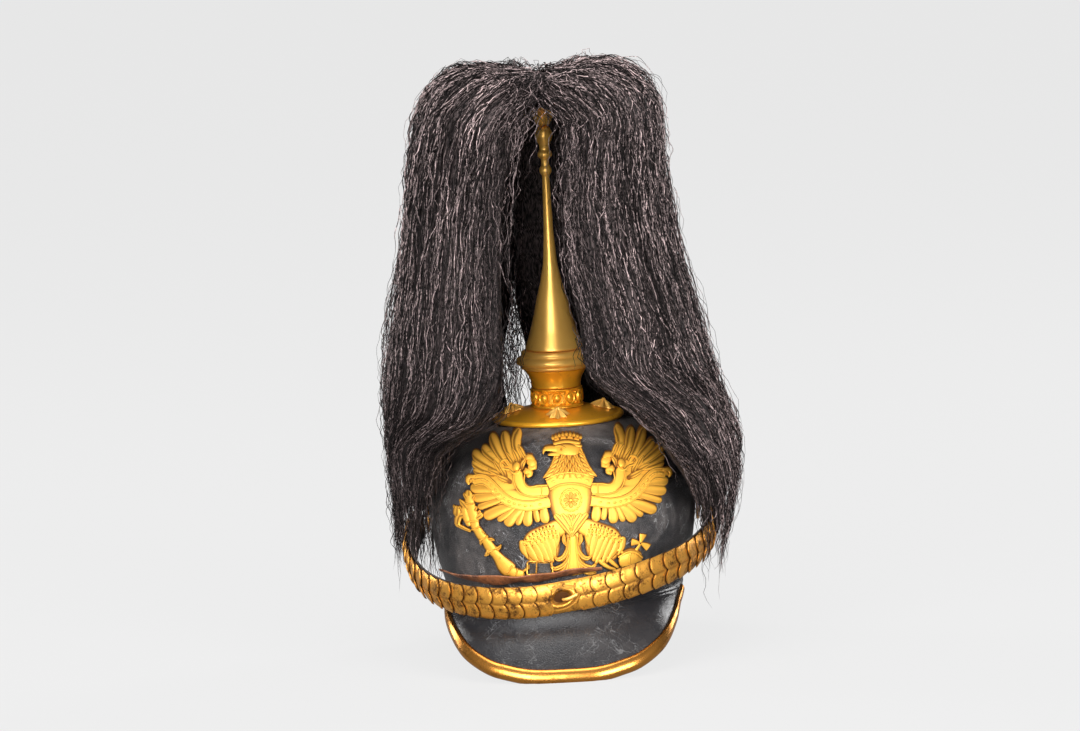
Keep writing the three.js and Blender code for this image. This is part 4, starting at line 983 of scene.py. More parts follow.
def base_plate_body():
    """Upper side turned from the profile, lower side at the same places but never outside
    42.2 mm, set on the shell."""
    rows = soften(BASE_PLATE, 0.8, 3)
    angle = circle(112)[:, None]
    sine, cosine = np.sin(angle), np.cos(angle)
    outer = np.stack(np.broadcast_arrays(rows[:, 0] * sine, -rows[:, 0] * cosine, rows[:, 1]), -1)
    under = np.minimum(rows[:, 0], np.linspace(42.2, 36, len(rows)))
    x, y = under * sine, -under * cosine
    return sheet_bodies(outer, np.stack([x, y, shell_top(x, y) + PLATE_GAP], -1), True)


make_piece("base_plate_dome", base_plate_body(), WARM, ["base_plate"])

# %% [markdown]
# Four studs stand on the base plate. Each is a little umbrella: eight rays pull its skirt out
# to points, the cloth sags between them, and a small button closes the top. In polar form the
# skirt's radius swings between two values and its height falls with a power of the way out.

# %% Star studs
STUD_RADIUS, STUD_NOTCH, STUD_HEIGHT, STUD_RAYS = 8.2, 6.1, 4.2, 8
STUD_CIRCLE = 30.0
STUD_TILT = math.atan2(2, 8)  # the plate's own slope at the studs
STUD_SIDES = {"right": 0, "back": 90, "left": 180, "front": 270}


def star_body():
    """Polar grid. Between rays the skirt is pressed in by the square of the swing, and at the
    middle a button of 1.5 mm stands 0.9 mm proud."""
    angle = circle(64)[:, None]
    out = np.linspace(0, 1, 16)[None, :]
    swing = 0.5 + 0.5 * np.cos(STUD_RAYS * angle)
    edge = STUD_NOTCH + (STUD_RADIUS - STUD_NOTCH) * swing ** 1.6
    radius = edge * out
    sag = 0.8 * (1 - swing) * np.sin(np.pi * out) ** 1.2
    height = STUD_HEIGHT * (1 - out ** 1.7) - sag + 0.9 * (1 - blend_step(1.1, 1.7, radius))
    top = np.stack([radius * np.cos(angle), radius * np.sin(angle), height + 0.35], -1)
    bottom = top.copy()
    bottom[..., 2] = np.minimum(height, 0)
    return sheet_bodies(top, bottom, close_rows=True)


def seat_stud(turn):
    """The star tilted to the plate's slope, moved out and turned to its side of the plate."""
    points, faces = star_body()
    radii, heights = (np.array([row[k] for row in BASE_PLATE[::-1]]) for k in (0, 1))
    level = np.interp(STUD_CIRCLE, radii, heights) + 0.45
    place = Matrix.Rotation(math.radians(turn), 4, "Z")
    place = place @ Matrix.Translation((STUD_CIRCLE, 0, level))
    place = np.array(place @ Matrix.Rotation(STUD_TILT, 4, "Y"))
    return points @ place[:3, :3].T + place[:3, 3], faces


for side, turn in STUD_SIDES.items():
    make_piece(f"star_stud_{side}_umbrella", seat_stud(turn), POLISHED,
               [f"star_stud_{side}"])

# %% [markdown]
# Under the neck runs a band of eleven oval medallions. Each one has a raised ring, a groove
# inside it and a domed boss, and a bead stands between neighbours above and below.

# %% Medallion band
MEDALLION_COUNT = 11
MEDALLION_WIDTH, MEDALLION_HEIGHT = 7.4, 9.8
MEDALLION_LEVEL, BAND_RADIUS = 172.0, 16.2
BEAD_RADIUS, BEAD_SIZE, BEAD_LEVELS = 16.4, 1.0, (168.9, 175.2)
MEDALLION_BAND = [
    (0, 165.5), (18.2, 165.5), (18.0, 166.6), (16.9, 167.3), (16, 168.4), (16, 175.8),
    (16.9, 176.6), (17.4, 177.4), (17.0, 178), (0, 178),
]


def medallion_bodies():
    """Closed lens grids bent round the band. The front's height over the band is a ring near
    0.8 of the way out, a groove near 0.6, and a boss in the middle."""
    angle = circle(30)[:, None]
    out = np.linspace(0, 1, 14)[None, :]
    across = MEDALLION_WIDTH / 2 * out * np.cos(angle)
    upward = MEDALLION_HEIGHT / 2 * out * np.sin(angle)
    ring = np.exp(-(((out - 0.82) / 0.12) ** 2))
    boss = 1.15 * np.sqrt(np.maximum(1 - (out / 0.55) ** 2, 0))
    height = 0.55 + 0.85 * ring + boss - 0.7 * blend_step(0.9, 1, out)
    fronts, backs = [], []
    for turn in circle(MEDALLION_COUNT):
        for grid, rise in ((fronts, height), (backs, 0 * height - 1)):
            reach, around = BAND_RADIUS + rise, turn + across / BAND_RADIUS
            level = MEDALLION_LEVEL + upward
            grid.append(np.stack([reach * np.sin(around), -reach * np.cos(around), level], -1))
    return sheet_bodies(np.array(fronts), np.array(backs), close_rows=True)


def bead_bodies(radius, size, places, around=12, rows=8):
    """Round beads on a circle: each is a small grid of a sphere."""
    turn = circle(around)[:, None]
    down = np.linspace(0, np.pi, rows)[None, :]
    ball = np.stack([np.sin(down) * np.cos(turn), np.sin(down) * np.sin(turn),
                     np.cos(down) + 0 * turn], -1).reshape(-1, 3) * size
    faces = grid_quads(around, rows, close_rows=True)
    return [(ball + (radius * np.sin(at), -radius * np.cos(at), level), faces)
            for at, level in places]


between = (np.arange(MEDALLION_COUNT) + 0.5) * 2 * np.pi / MEDALLION_COUNT
beads = bead_bodies(BEAD_RADIUS, BEAD_SIZE, [(at, level) for at in between for level in BEAD_LEVELS])
medallions = join_bodies([turned_body(MEDALLION_BAND, 0.5), medallion_bodies(), *beads])
make_piece("medallion_band_ovals", medallions, WARM, ["medallion_ring"])

# %% [markdown]
# The chin strap follows a curve through a table of places. The curve is a Catmull-Rom curve
# whose knots are spaced by the square root of the distance between places, so that it never
# loops. It is walked once in small steps, and every later question is answered from that walk.

# %% Strap curves
STRAP_PATH = np.array([  # x, y, z and how far the upper edge leans out, in degrees
    (-93.3, 8, 92, 1), (-99, -12, 82, 8), (-100, -35, 72, 13), (-93, -65, 62, 15),
    (-78, -92, 56, 15), (-55, -111, 53, 13), (-28, -121, 53, 10), (0, -123.5, 56, 8),
    (28, -120, 60, 7), (52, -110, 65, 7), (72, -94, 70, 7), (86, -70, 75, 7), (94, -42, 80, 6),
    (95, -16, 86, 4), (93.3, 8, 92, 1),
])
STRAP_WIDTH = 22.0
LINING_WALL = 1.6


def knotted_curve(places, steps=160):
    """Points and slopes along a centripetal Catmull-Rom curve. Each span is the Hermite cubic
    between two places, with slopes from the divided differences over the knot distances."""
    first, last = 2 * places[0] - places[1], 2 * places[-1] - places[-2]
    run = np.vstack([first, places, last])
    knot = np.sqrt(np.linalg.norm(np.diff(run, axis=0), axis=1))[:, None]
    step = np.diff(run, axis=0) / knot
    wide = (run[2:] - run[:-2]) / (knot[1:] + knot[:-1])
    slope = step[:-1] - wide + step[1:]
    t = np.linspace(0, 1, steps, endpoint=False)[:, None]
    spans, slopes = [], []
    for i in range(len(places) - 1):
        p, q = places[i], places[i + 1]
        u, v = slope[i] * knot[i + 1], slope[i + 1] * knot[i + 1]
        square, cube = (2 * p - 2 * q + u + v), (3 * q - 3 * p - 2 * u - v)
        spans.append(p + u * t + cube * t**2 + square * t**3)
        slopes.append(u + 2 * cube * t + 3 * square * t**2)
    return np.vstack([*spans, places[-1:]]), np.vstack([*slopes, slopes[-1][-1:]])


def walk(places):
    """The curve's points, unit tangents and the length covered at each point."""
    points, slopes = knotted_curve(places)
    length = np.concatenate([[0], np.cumsum(np.linalg.norm(np.diff(points, axis=0), axis=1))])
    return points, unit(slopes), length


def read_walk(at, lengths, rows):
    """Rows of a walk read at any lengths along it."""
    return np.stack([np.interp(at, lengths, rows[:, k]) for k in range(rows.shape[1])], -1)


STRAP_POINTS, STRAP_TANGENTS, STRAP_WAY = walk(STRAP_PATH[:, :3])
STRAP_LENGTH = STRAP_WAY[-1]


def strap_point(way, across, out):
    """Point of the strap: way along the curve, across up its width and out from its inner
    face. The face is tangent × up, and both lean by the table's angle."""
    way, across, out = np.broadcast_arrays(*(np.asarray(v, float) for v in (way, across, out)))
    point = read_walk(way, STRAP_WAY, STRAP_POINTS)
    tangent = unit(read_walk(way, STRAP_WAY, STRAP_TANGENTS))
    facing = unit(np.cross(tangent, np.array([0.0, 0, 1])))
    upward = np.cross(facing, tangent)
    rows = np.linspace(0, STRAP_LENGTH, len(STRAP_PATH))
    lean = np.radians(np.interp(way, rows, STRAP_PATH[:, 3]))[..., None]
    up = upward * np.cos(lean) + facing * np.sin(lean)
    face = facing * np.cos(lean) - upward * np.sin(lean)
    return point + across[..., None] * up + out[..., None] * face


way = np.linspace(0, STRAP_LENGTH, 240)[:, None]
across = np.linspace(-0.5, 0.5, 5)[None, :] * (STRAP_WIDTH - 2)
lining = sheet_bodies(strap_point(way, across, LINING_WALL), strap_point(way, across, 0.0))
make_piece("chin_lining_band", lining, LINING_LEATHER, ["chin_lining"])
print(f"strap length {STRAP_LENGTH:.1f} mm")

# %% [markdown]
# The scales overlap from the posts to the middle plate. Each is a small domed sheet with two rounded
# lobes at its free edge, a raised lip round them, and a crease between them. The value called low marks
# the places where one scale runs under its neighbour, and the crease: there the brass is darkened as
# patina and as painted shade, which draws a dark line at each overlap.

# %% Chin scales
LEFT_SCALES, RIGHT_SCALES = 17, 16
FIRST_PITCH, LAST_PITCH = 12.4, 9.6
SCALE_START, SCALE_OVERLAP = 1.0, 3.0
SCALE_SHEET, SCALE_DOME, SCALE_LOBE = 0.8, 2.2, 2.5
SCALE_SEAT = LINING_WALL + 0.35
SCALE_STEP = 0.55
END_PLATE_MIDDLE, END_PLATE_LENGTH = STRAP_LENGTH * 0.507, 27.0
SCALE_ACROSS, SCALE_ALONG = 25, 11


def scale_backs(count, room):
    """Back edge and pitch of each scale. The pitch eases from the first to the last value,
    and all are stretched alike to fill the room."""
    pitch = np.linspace(FIRST_PITCH, LAST_PITCH, count)
    pitch *= (room - SCALE_START) / pitch.sum()
    return SCALE_START + np.concatenate([[0], np.cumsum(pitch)[:-1]]), pitch


def scale_bodies(count, room, mirrored):
    """All scales of one side. Height over the lining is the climb along the scale, a dome
    2.2·(1-s²), and a relief of two pillows |sin(πs)|, a lip near the edge and a crease."""
    back, pitch = scale_backs(count, room)
    back, pitch = back[:, None, None], pitch[:, None, None]
    side = np.linspace(-1, 1, SCALE_ACROSS)[None, :, None]
    along = np.linspace(0, 1, SCALE_ALONG)[None, None, :] ** 0.85
    draw = np.random.default_rng(5 + mirrored)
    uneven = draw.normal(0, 1, (count, 1, 1))
    lobe_shape = np.abs(np.sin(np.pi * side))
    lobe = along * (SCALE_LOBE + 0.35 * (lobe_shape - 0.5)) * lobe_shape ** 0.8
    run = along * (pitch + SCALE_OVERLAP) + lobe
    climb = (SCALE_SHEET + SCALE_STEP) / pitch
    shown = blend_step(SCALE_OVERLAP + 0.6, SCALE_OVERLAP + 3.5, run)
    pillow = 0.45 * lobe_shape * shown * (1 - 0.4 * along)
    lip = 0.28 * np.exp(-(((1 - along) * pitch - 1.0) / 0.7) ** 2)
    crease = 0.3 * np.exp(-((side / 0.07) ** 2)) * shown
    lean = 0.12 * uneven * side + 0.1 * uneven
    relief = pillow + lip - crease + lean * shown
    height = SCALE_SEAT + climb * run + SCALE_DOME * (1 - side**2)
    way = back + run
    way = STRAP_LENGTH - way if mirrored else way
    across = side * STRAP_WIDTH / 2
    edge_turn = 0.5 * blend_step(0.88, 1, np.abs(side))
    outer = strap_point(way, across, height + SCALE_SHEET + relief - edge_turn)
    inner = strap_point(way, across, height - 0 * run)
    over_edge = SCALE_OVERLAP + SCALE_LOBE * lobe_shape ** 0.8
    # Painted shade with patina: the brass darkens where a scale runs under its neighbour, along the
    # crease, and on the inner side, which is all low.
    overlap_shade = 1 - blend_step(over_edge + 0.5, over_edge + 1.7, run)
    crease_darkening = 0.6 * np.exp(-((side / 0.1) ** 2)) * shown
    low = np.clip(overlap_shade + crease_darkening, 0, 1)
    values = np.concatenate([low.reshape(count, -1), np.ones((count, low[0].size))], 1)
    return sheet_bodies(outer, inner), {"low": values.ravel()}


left_room = END_PLATE_MIDDLE - END_PLATE_LENGTH / 2
right_room = STRAP_LENGTH - END_PLATE_MIDDLE - END_PLATE_LENGTH / 2
for side, count, room in (("left", LEFT_SCALES, left_room), ("right", RIGHT_SCALES, right_room)):
    body, values = scale_bodies(count, room, side == "right")
    nodes = [f"scale_{side}_{i + 1:02d}" for i in range(count)]
    make_piece(f"chin_scales_{side}_row", body, AGED, nodes, False, values)

# %% [markdown]
# The two halves of the strap meet under an oval plate: a raised ring round a recess, with the
# claw of the hook lying across it. The ring leans a little, as if the plate had been turned.

# %% Middle plate and hook
RING_HALF = np.array([8.4, 5.6])
RING_PLACE = (-2.2, 0.2)
RING_TURN = math.radians(14)


def end_plate_body():
    """Sheet whose relief depends on q, the distance from the ring's middle over its radius:
    a ring near q = 1, a recess inside it, and low swellings beside it."""
    way = np.linspace(0.4, END_PLATE_LENGTH - 0.4, 71)[:, None] - END_PLATE_LENGTH / 2
    side = np.linspace(-1, 1, 45)[None, :]
    across = side * (STRAP_WIDTH - 0.6) / 2
    x, z = way - RING_PLACE[0], across - RING_PLACE[1]
    along = x * math.cos(RING_TURN) + z * math.sin(RING_TURN)
    upward = z * math.cos(RING_TURN) - x * math.sin(RING_TURN)
    q = np.sqrt((along / RING_HALF[0]) ** 2 + (upward / RING_HALF[1]) ** 2)
    ring = 1.05 * np.exp(-(((q - 1.0) / 0.17) ** 2)) + 0.35 * np.exp(-(((q - 1.5) / 0.12) ** 2))
    recess = 1.7 * (1 - blend_step(0.62, 0.86, q))
    lip = 0.3 * blend_step(11.6, 12.6, np.abs(way)) - 0.4 * blend_step(0.9, 1, np.abs(side))
    dome = SCALE_DOME * (1 - side**2)
    outer = SCALE_SEAT + 0.9 + dome + ring - recess + lip
    middle = END_PLATE_MIDDLE + way
    low = np.clip(1 - blend_step(0.55, 0.95, q) + 0.5 * np.exp(-(((q - 1.28) / 0.1) ** 2)), 0, 1)
    values = np.concatenate([low.ravel(), np.ones(low.size)])
    inner = strap_point(middle, across, SCALE_SEAT + 0 * outer)
    return sheet_bodies(strap_point(middle, across, outer), inner), {"low": values}


def tube_body(line, radius, around=12):
    """Tube along a line with a radius at each point: circles in the plane across the line,
    the first and the last drawn in to nothing."""
    tangent = unit(np.gradient(line, axis=0))
    side = unit(np.cross(tangent, np.array([0.3, 0.2, 0.93])))
    up = np.cross(side, tangent)
    turn = circle(around)[:, None, None]
    reach = np.concatenate([[0], radius, [0]])[None, :, None]
    rows = [np.concatenate([v[:1], v, v[-1:]])[None] for v in (line, side, up)]
    points = rows[0] + reach * (np.cos(turn) * rows[1] + np.sin(turn) * rows[2])
    return points.reshape(-1, 3), grid_quads(around, len(line) + 2, close_rows=True)


body, values = end_plate_body()
make_piece("chin_end_plate_oval", body, AGED, ["end_plate"], False, values)

HOOK_TOP = SCALE_SEAT + 0.9 + SCALE_DOME
HOOK_PATH = np.array([(-1.6, -0.9, -0.5), (-0.2, -0.9, 0.6), (2.5, -0.5, 1.6), (6, 0.7, 2.0),
                      (8.8, 1.8, 1.7)])
hook_line = smooth_read(np.arange(5), HOOK_PATH, np.linspace(0, 4, 40))
hook_line = strap_point(END_PLATE_MIDDLE + hook_line[:, 0], hook_line[:, 1],
                        HOOK_TOP + hook_line[:, 2])
hook_radius = smooth_read([0, 0.2, 0.7, 0.9, 1], [0.8, 1.0, 1.15, 1.0, 0.35],
                          np.linspace(0, 1, 40))
make_piece("chin_hook_claw", tube_body(hook_line, hook_radius), POLISHED,
           ["end_hook"])

# %% [markdown]
# A round boss at each end of the strap covers the post that it hangs from.

# %% Bosses
BOSS_PROFILE = [(0, 0), (9, 0), (9, 1.4), (8.4, 2.2), (7.2, 1.9), (6.4, 2.2), (4, 2.7), (0, 2.9)]
BOSS_PLACE = (89.1, 8, 92)
SIDES = (("left", -1), ("right", 1))
for name, side in SIDES:
    points, faces = turned_body(BOSS_PROFILE, 0.5, 48)
    turned = (points[:, [2, 0, 1]] + BOSS_PLACE) * (side, 1, 1)
    make_piece(f"strap_boss_{name}_rose", (turned, faces), AGED, [f"boss_{name}"])

# %% [markdown]
# A narrow brown strap lies behind the scales. It is one ribbon that rolls over along its way, so that
# its flesh side shows in places, and it ends in a dark flap inside a thin wire buckle. The flap stands
# for the strap's end and is painted shade too: a dark sheet that fills the buckle's hollow.

# %% Tie strap and buckle
TIE_PATH = np.array([  # x, y, z and the slope of the width, outer edge up, in degrees
    (-83, -58, 66, 20), (-70, -80, 64.5, 30), (-51, -97.6, 64, 52), (-33, -107.2, 64.5, 34),
    (-14, -112.7, 66.5, 38), (6, -114.2, 69, 36), (24, -111.6, 70, 40),
])
TIE_WIDTH = np.array([3.6, 6.2, 8.4, 8.4, 8.0, 6.4, 3.0])
TIE_WALL = 1.5
TIE_POINTS, TIE_SLOPES = knotted_curve(TIE_PATH[:, :3])


def tie_point(u, across, rise):
    """Point of the ribbon, u from 0 to 1: across its width, sloped by the table, and up from
    its lower face."""
    u, across, rise = np.broadcast_arrays(u, across, rise)
    steps = np.linspace(0, 1, len(TIE_POINTS))
    point = read_walk(u, steps, TIE_POINTS)
    tangent = unit(read_walk(u, steps, TIE_SLOPES))
    outward_way = unit(np.cross(tangent, np.array([0.0, 0, 1])))
    upward = np.cross(outward_way, tangent)
    rows = np.linspace(0, 1, len(TIE_PATH))
    slope = np.radians(np.interp(u, rows, TIE_PATH[:, 3]))[..., None]
    width = outward_way * np.cos(slope) + upward * np.sin(slope)
    face = upward * np.cos(slope) - outward_way * np.sin(slope)
    return point + across[..., None] * width + rise[..., None] * face


def tie_body():
    """The ribbon with curled edges: the rise is 0.5·s² at its sides, and slow waves make the
    leather uneven."""
    u = np.linspace(0, 1, 220)[:, None]
    side = np.linspace(-1, 1, 13)[None, :]
    half = smooth_read(np.linspace(0, 1, 7), TIE_WIDTH, u) / 2
    curl = 0.5 * side**2 + 0.25 * np.sin(31 * u + 1.3 * side) + 0.2 * np.sin(17 * u)
    edge = 0.25 * np.sin(23 * u) * side
    upper = tie_point(u, side * half + edge, TIE_WALL - 0.2 + curl - 0.3 * side**4)
    lower = tie_point(u, side * half + edge, 0.1 + curl)
    return sheet_bodies(upper, lower)


BUCKLE_FRAME = np.array([(-8.8, 0.6), (-8.0, 9.4), (8.4, 8.2), (8.8, 0.2)])
BUCKLE_PLACE = np.array([-17, -111.4, 68.6])
WIRE_HALF = (0.62, 0.75)
BUCKLE_YAW, BUCKLE_ROLL, BUCKLE_PITCH = (
    Matrix.Rotation(math.radians(angle), 3, axis) for angle, axis in ((-14, "Z"), (-4, "Y"), (-12, "X")))
BUCKLE_TURN = np.array(BUCKLE_YAW @ BUCKLE_ROLL @ BUCKLE_PITCH).T


def buckle_body():
    """A closed ring of wire along the frame's four corners, made oval in section."""
    t = np.linspace(0.06, 0.94, 9)[:, None]
    line = np.concatenate([a + (b - a) * t
                           for a, b in zip(BUCKLE_FRAME, np.roll(BUCKLE_FRAME, -1, 0))])
    before, after = np.roll(line, 1, 0), np.roll(line, -1, 0)
    out = unit(np.stack([(after - before)[:, 1], -(after - before)[:, 0]], -1))
    turn = circle(12)
    reach = line[:, None] + WIRE_HALF[0] * np.cos(turn)[None, :, None] * out[:, None]
    thick = WIRE_HALF[1] * (1 + np.sin(turn)[None, :]) + 0 * reach[..., 0]
    flat = np.stack([reach[..., 0], -thick, reach[..., 1]], -1).reshape(-1, 3)
    faces = grid_quads(len(line), 12, close_rows=True, close_columns=True)
    return flat @ BUCKLE_TURN + BUCKLE_PLACE, faces


def pin_body():
    """The buckle's tongue, from the lower bar to the upper one."""
    line = np.linspace((-2.5, -1.0, 0.8), (-1.5, -1.5, 9.6), 12)
    return tube_body(line @ np.array(BUCKLE_YAW).T + BUCKLE_PLACE, np.full(12, 0.55), 8)


def buckle_shade_flap_body():
    """The dark flap of the strap's end, seen inside the frame: a slightly curved plate, dark as painted
    shade for the buckle's hollow.
    """
    u, v = np.meshgrid(np.linspace(0.08, 0.92, 12), np.linspace(0.1, 0.86, 8), indexing="ij")
    low = BUCKLE_FRAME[0] + u[..., None] * (BUCKLE_FRAME[3] - BUCKLE_FRAME[0])
    high = BUCKLE_FRAME[1] + u[..., None] * (BUCKLE_FRAME[2] - BUCKLE_FRAME[1])
    flat = low + v[..., None] * (high - low)
    bend = 0.5 * np.sin(9 * u + 2 * v)
    front, back = (np.stack([flat[..., 0], bend + rise, flat[..., 1]], -1) @ BUCKLE_TURN
                   + BUCKLE_PLACE for rise in (-0.4, 0.3))
    return sheet_bodies(front, back)


make_piece("tie_strap_ribbon", tie_body(), BROWN_LEATHER, ["tie_strap"])
# Painted shade: a dark leather sheet fills the inside of the buckle frame.
make_piece("tie_strap_tip_shade_flap", buckle_shade_flap_body(), LINING_LEATHER, ["tie_buckle"])
make_piece("tie_buckle_wire", join_bodies([buckle_body(), pin_body()]), AGED,
           ["tie_buckle"])

# %% [markdown]
# The front plate is an eagle stamped from gilt sheet. It is drawn the way a chaser works, in
# strokes: each stroke is a run of places with widths, and becomes a domed lobe with rounded
# ends, raised over its neighbours or lying under them. The strokes are laid out on a plane,
# with x to the right and z up from the breast, and then bent onto the front of the shell.

# %% Front plate: strokes
EAGLE_CENTRE = (5.2, 120.3)
EAGLE_ROLL = math.radians(-1.5)
PLATE_STANDOFF = 0.45
BODY_HALF = np.array([(-28, 3), (-14, 12.5), (0, 15.5), (10, 15), (18, 10), (27, 6), (34, 6)])
BODY_MIDDLE = 0.4


def body_swell(x, z):
    """Extra height of the eagle's rounded body: 1.7·√(1-(x/half)²), whose half width depends
    on the height."""
    half = np.interp(z, BODY_HALF[:, 0], BODY_HALF[:, 1])
    return 1.7 * np.sqrt(np.maximum(1 - ((x - BODY_MIDDLE) / half) ** 2, 0))


def on_plate(x, z, rise):
    """Plane place and height as a point over the shell."""
    cosine, sine = math.cos(EAGLE_ROLL), math.sin(EAGLE_ROLL)
    across = EAGLE_CENTRE[0] + x * cosine - z * sine
    return over_shell(across, EAGLE_CENTRE[1] + x * sine + z * cosine, rise)


def stroke_body(rows, edge, crown, groove=0.0, groove_side=0.0, tilt=0.0, cap=1.0, dirt=0.0,
                rise=0.0, on_body=False):
    """One lobe. Its middle line is a smooth curve through the rows; each end is extended by cap
    half-widths and drawn in as √(1-d²). The height goes from edge to crown as (1-s²)^0.6 across, tilts
    to one side, rises towards the tip, and is cut by a groove. Low is 1 at the edges, in the groove, and
    at the root of a lobe that rises, plus the added darkness; there it darkens the gilt as tarnish and
    as painted shade that outlines each lobe."""
    fine = smooth_read(np.arange(len(rows)), rows, np.linspace(0, len(rows) - 1, 80))
    run = np.concatenate([[0], np.cumsum(np.linalg.norm(np.diff(fine[:, :2], axis=0), axis=1))])
    ends = np.maximum(cap * fine[[0, -1], 2] / 2, 0.05)
    along = int(np.clip(run[-1] / 1.6 + 6, 7, 30))
    wide = 13 if fine[:, 2].max() > 12 else 9 if fine[:, 2].max() > 3.2 else 7
    sweep = (1 - np.cos(np.linspace(0, np.pi, along))) / 2
    d = -ends[0] + (run[-1] + ends.sum()) * sweep
    inner = np.clip(d, 0, run[-1])
    line = read_walk(inner, run, fine)
    way = unit(read_walk(inner, run, np.gradient(fine[:, :2], axis=0)))
    centre = line[:, :2] + (d - inner)[:, None] * way
    beyond = np.where(d < 0, -d / ends[0], np.where(d > run[-1], (d - run[-1]) / ends[1], 0))
    round_end = np.sqrt(np.maximum(1 - np.minimum(beyond, 1) ** 2, 0.0004))
    s = np.sin(np.linspace(-np.pi / 2, np.pi / 2, wide))[None, :]
    reach = (line[:, 2] / 2 * round_end)[:, None] * s
    x = centre[:, :1] - reach * way[:, 1:]
    z = centre[:, 1:] + reach * way[:, :1]
    cut = np.exp(-(((s - groove_side) / 0.17) ** 2)) * round_end[:, None]
    dome = (1 - s**2) ** 0.6 * round_end[:, None]
    ground = body_swell(x, z) if on_body else 0.0
    height = edge + (crown - edge) * dome + tilt * s * round_end[:, None] - groove * cut + ground
    climb = (inner / run[-1])[:, None] if rise else np.ones((along, 1))
    height = height + rise * (climb - 0.5)
    upper = on_plate(x, z, PLATE_STANDOFF + height)
    lower = on_plate(x, z, PLATE_STANDOFF + 0 * height)
    # Painted shade with tarnish: low darkens the edges, the groove and a rising root of every lobe, and
    # the lower side, which shows on the walls.
    rim = np.maximum(blend_step(0.62, 0.97, np.abs(s)), 1 - blend_step(0.1, 0.5, round_end)[:, None])
    root = 1 - blend_step(0.05, 0.4, climb)
    low = np.clip(np.maximum(np.maximum(rim, 3 * groove * cut), root) + dirt, 0, 1)
    return sheet_bodies(upper, lower), np.concatenate([low.ravel(), np.ones(low.size)])


def wider(strokes, factor):
    """The strokes with every width multiplied."""
    return [[(x, z, factor * width) for x, z, width in rows] for rows in strokes]


def mirror(strokes, middle=0.0):
    """The strokes as seen in a mirror that stands at x = middle."""
    return [[(2 * middle - x, z, width) for x, z, width in rows] for rows in strokes]


def both_sides(layers, middle=0.0):
    """Draws all the layers on the left and then in the mirror. A layer is its strokes, how
    much wider they become, and their heights and grooves."""
    for seen in (False, True):
        for strokes, factor, shape in layers:
            strokes = wider(strokes, factor)
            draw_strokes(mirror(strokes, middle) if seen else strokes, **shape)


PLATE_PARTS, PLATE_TARNISH_AND_SHADE = [], []


def draw_strokes(strokes, **shape):
    """Adds the strokes to the plate, all with the same heights and groove."""
    for rows in strokes:
        body, low = stroke_body(rows, **shape)
        PLATE_PARTS.append(body)
        PLATE_TARNISH_AND_SHADE.append(low)


# %% [markdown]
# A wing is built from the back to the front: long feathers fanned round its outline, short
# covering feathers over their roots, a scroll, the arm with its two raised lines, and the
# ribbon that winds across it. The ribbon's motif is a plain row of ovals.

# %% Front plate: wings
UPPER_FEATHERS = [
    [(-50.5, 11, 2.2), (-56, 11.5, 3.2), (-61, 12, 4)],
    [(-48, 12.5, 2.6), (-55.5, 13.5, 4.2), (-61.5, 15.5, 4.6)],
    [(-46.5, 14, 2.6), (-54, 17, 4.8), (-60.5, 19.8, 5.8)],
    [(-44, 16, 2.6), (-49, 20, 4.6), (-54.5, 23.4, 5.2)],
    [(-41, 18, 3), (-45.5, 23, 5), (-49, 28.4, 6)],
    [(-37, 21, 3), (-40, 25.5, 5), (-41.4, 30, 5.8)],
    [(-32, 22.5, 3), (-34.5, 27, 5), (-34.4, 31, 5.8), (-33.2, 33, 4.6)],
]
LOWER_FEATHERS = [
    [(-51.5, 2, 3.6), (-57, 2, 4.6), (-62.5, 1.5, 5)],
    [(-45.5, -3.5, 3.2), (-52.5, -6.5, 3.6), (-59, -9.5, 3.4)],
    [(-47.5, -0.5, 4), (-55, -2.5, 5.2), (-61, -4, 5.2)],
    [(-37.5, -8.5, 3), (-42, -13, 3.4), (-46.5, -16.5, 3.2)],
    [(-39.5, -7.5, 4), (-47.5, -11, 5.4), (-54, -14.5, 5.6)],
    [(-31.5, -10.5, 3), (-33, -14.5, 3.4), (-34.5, -18, 3.4)],
    [(-34, -10, 4), (-38, -14, 5.6), (-40.5, -17.5, 6)],
    [(-23, -10, 3), (-22.5, -13.5, 3.4), (-22, -15.8, 3.2)],
    [(-27.5, -11, 4), (-28.5, -14.5, 5.4), (-28.5, -17, 5.6)],
    [(-17.5, -9, 4), (-17.5, -12.5, 5.4), (-17, -15, 5.4)],
]
WING_GROUND = [
    [(-33, 20, 8), (-45, 14, 16), (-52, 10, 8)],
    [(-34, 8, 10), (-50, 4, 12)],
    [(-20, -4, 12), (-42, -3, 14), (-52, 0, 10)],
]
COVERTS = [
    [(-30.5, 20.5, 2.2), (-30.5, 24, 3.2), (-32, 26.5, 2.6), (-33, 28, 1)],
    [(-28, 19.5, 2.2), (-29, 22, 3), (-30.5, 24, 2.2), (-31.4, 26, 0.8)],
    [(-33, 18.5, 2.2), (-34.5, 22, 3.4), (-36, 24.5, 2.6), (-37, 26, 1)],
    [(-36, 17.5, 2.2), (-38, 20.5, 3.2), (-40, 22.5, 2.4), (-41.4, 24, 0.9)],
    [(-43, 12.5, 2.6), (-45.5, 14, 3.6), (-48, 16.5, 3), (-49.4, 18.8, 1.1)],
    [(-45.5, 10.5, 2.6), (-48.5, 12, 3.4), (-51.5, 13, 2.6), (-53.5, 13.6, 1)],
    [(-42.5, 10, 2.6), (-43, 12, 3.4), (-45.5, 15.5, 2.4), (-46.5, 17.4, 0.8)],
    [(-39.5, 7.5, 2.6), (-43.5, 9, 3.4), (-46.5, 10, 2.6), (-48, 11, 1)],
    [(-31.5, 15.5, 2.4), (-30.5, 18.5, 3), (-28.5, 21, 1.4)],
]
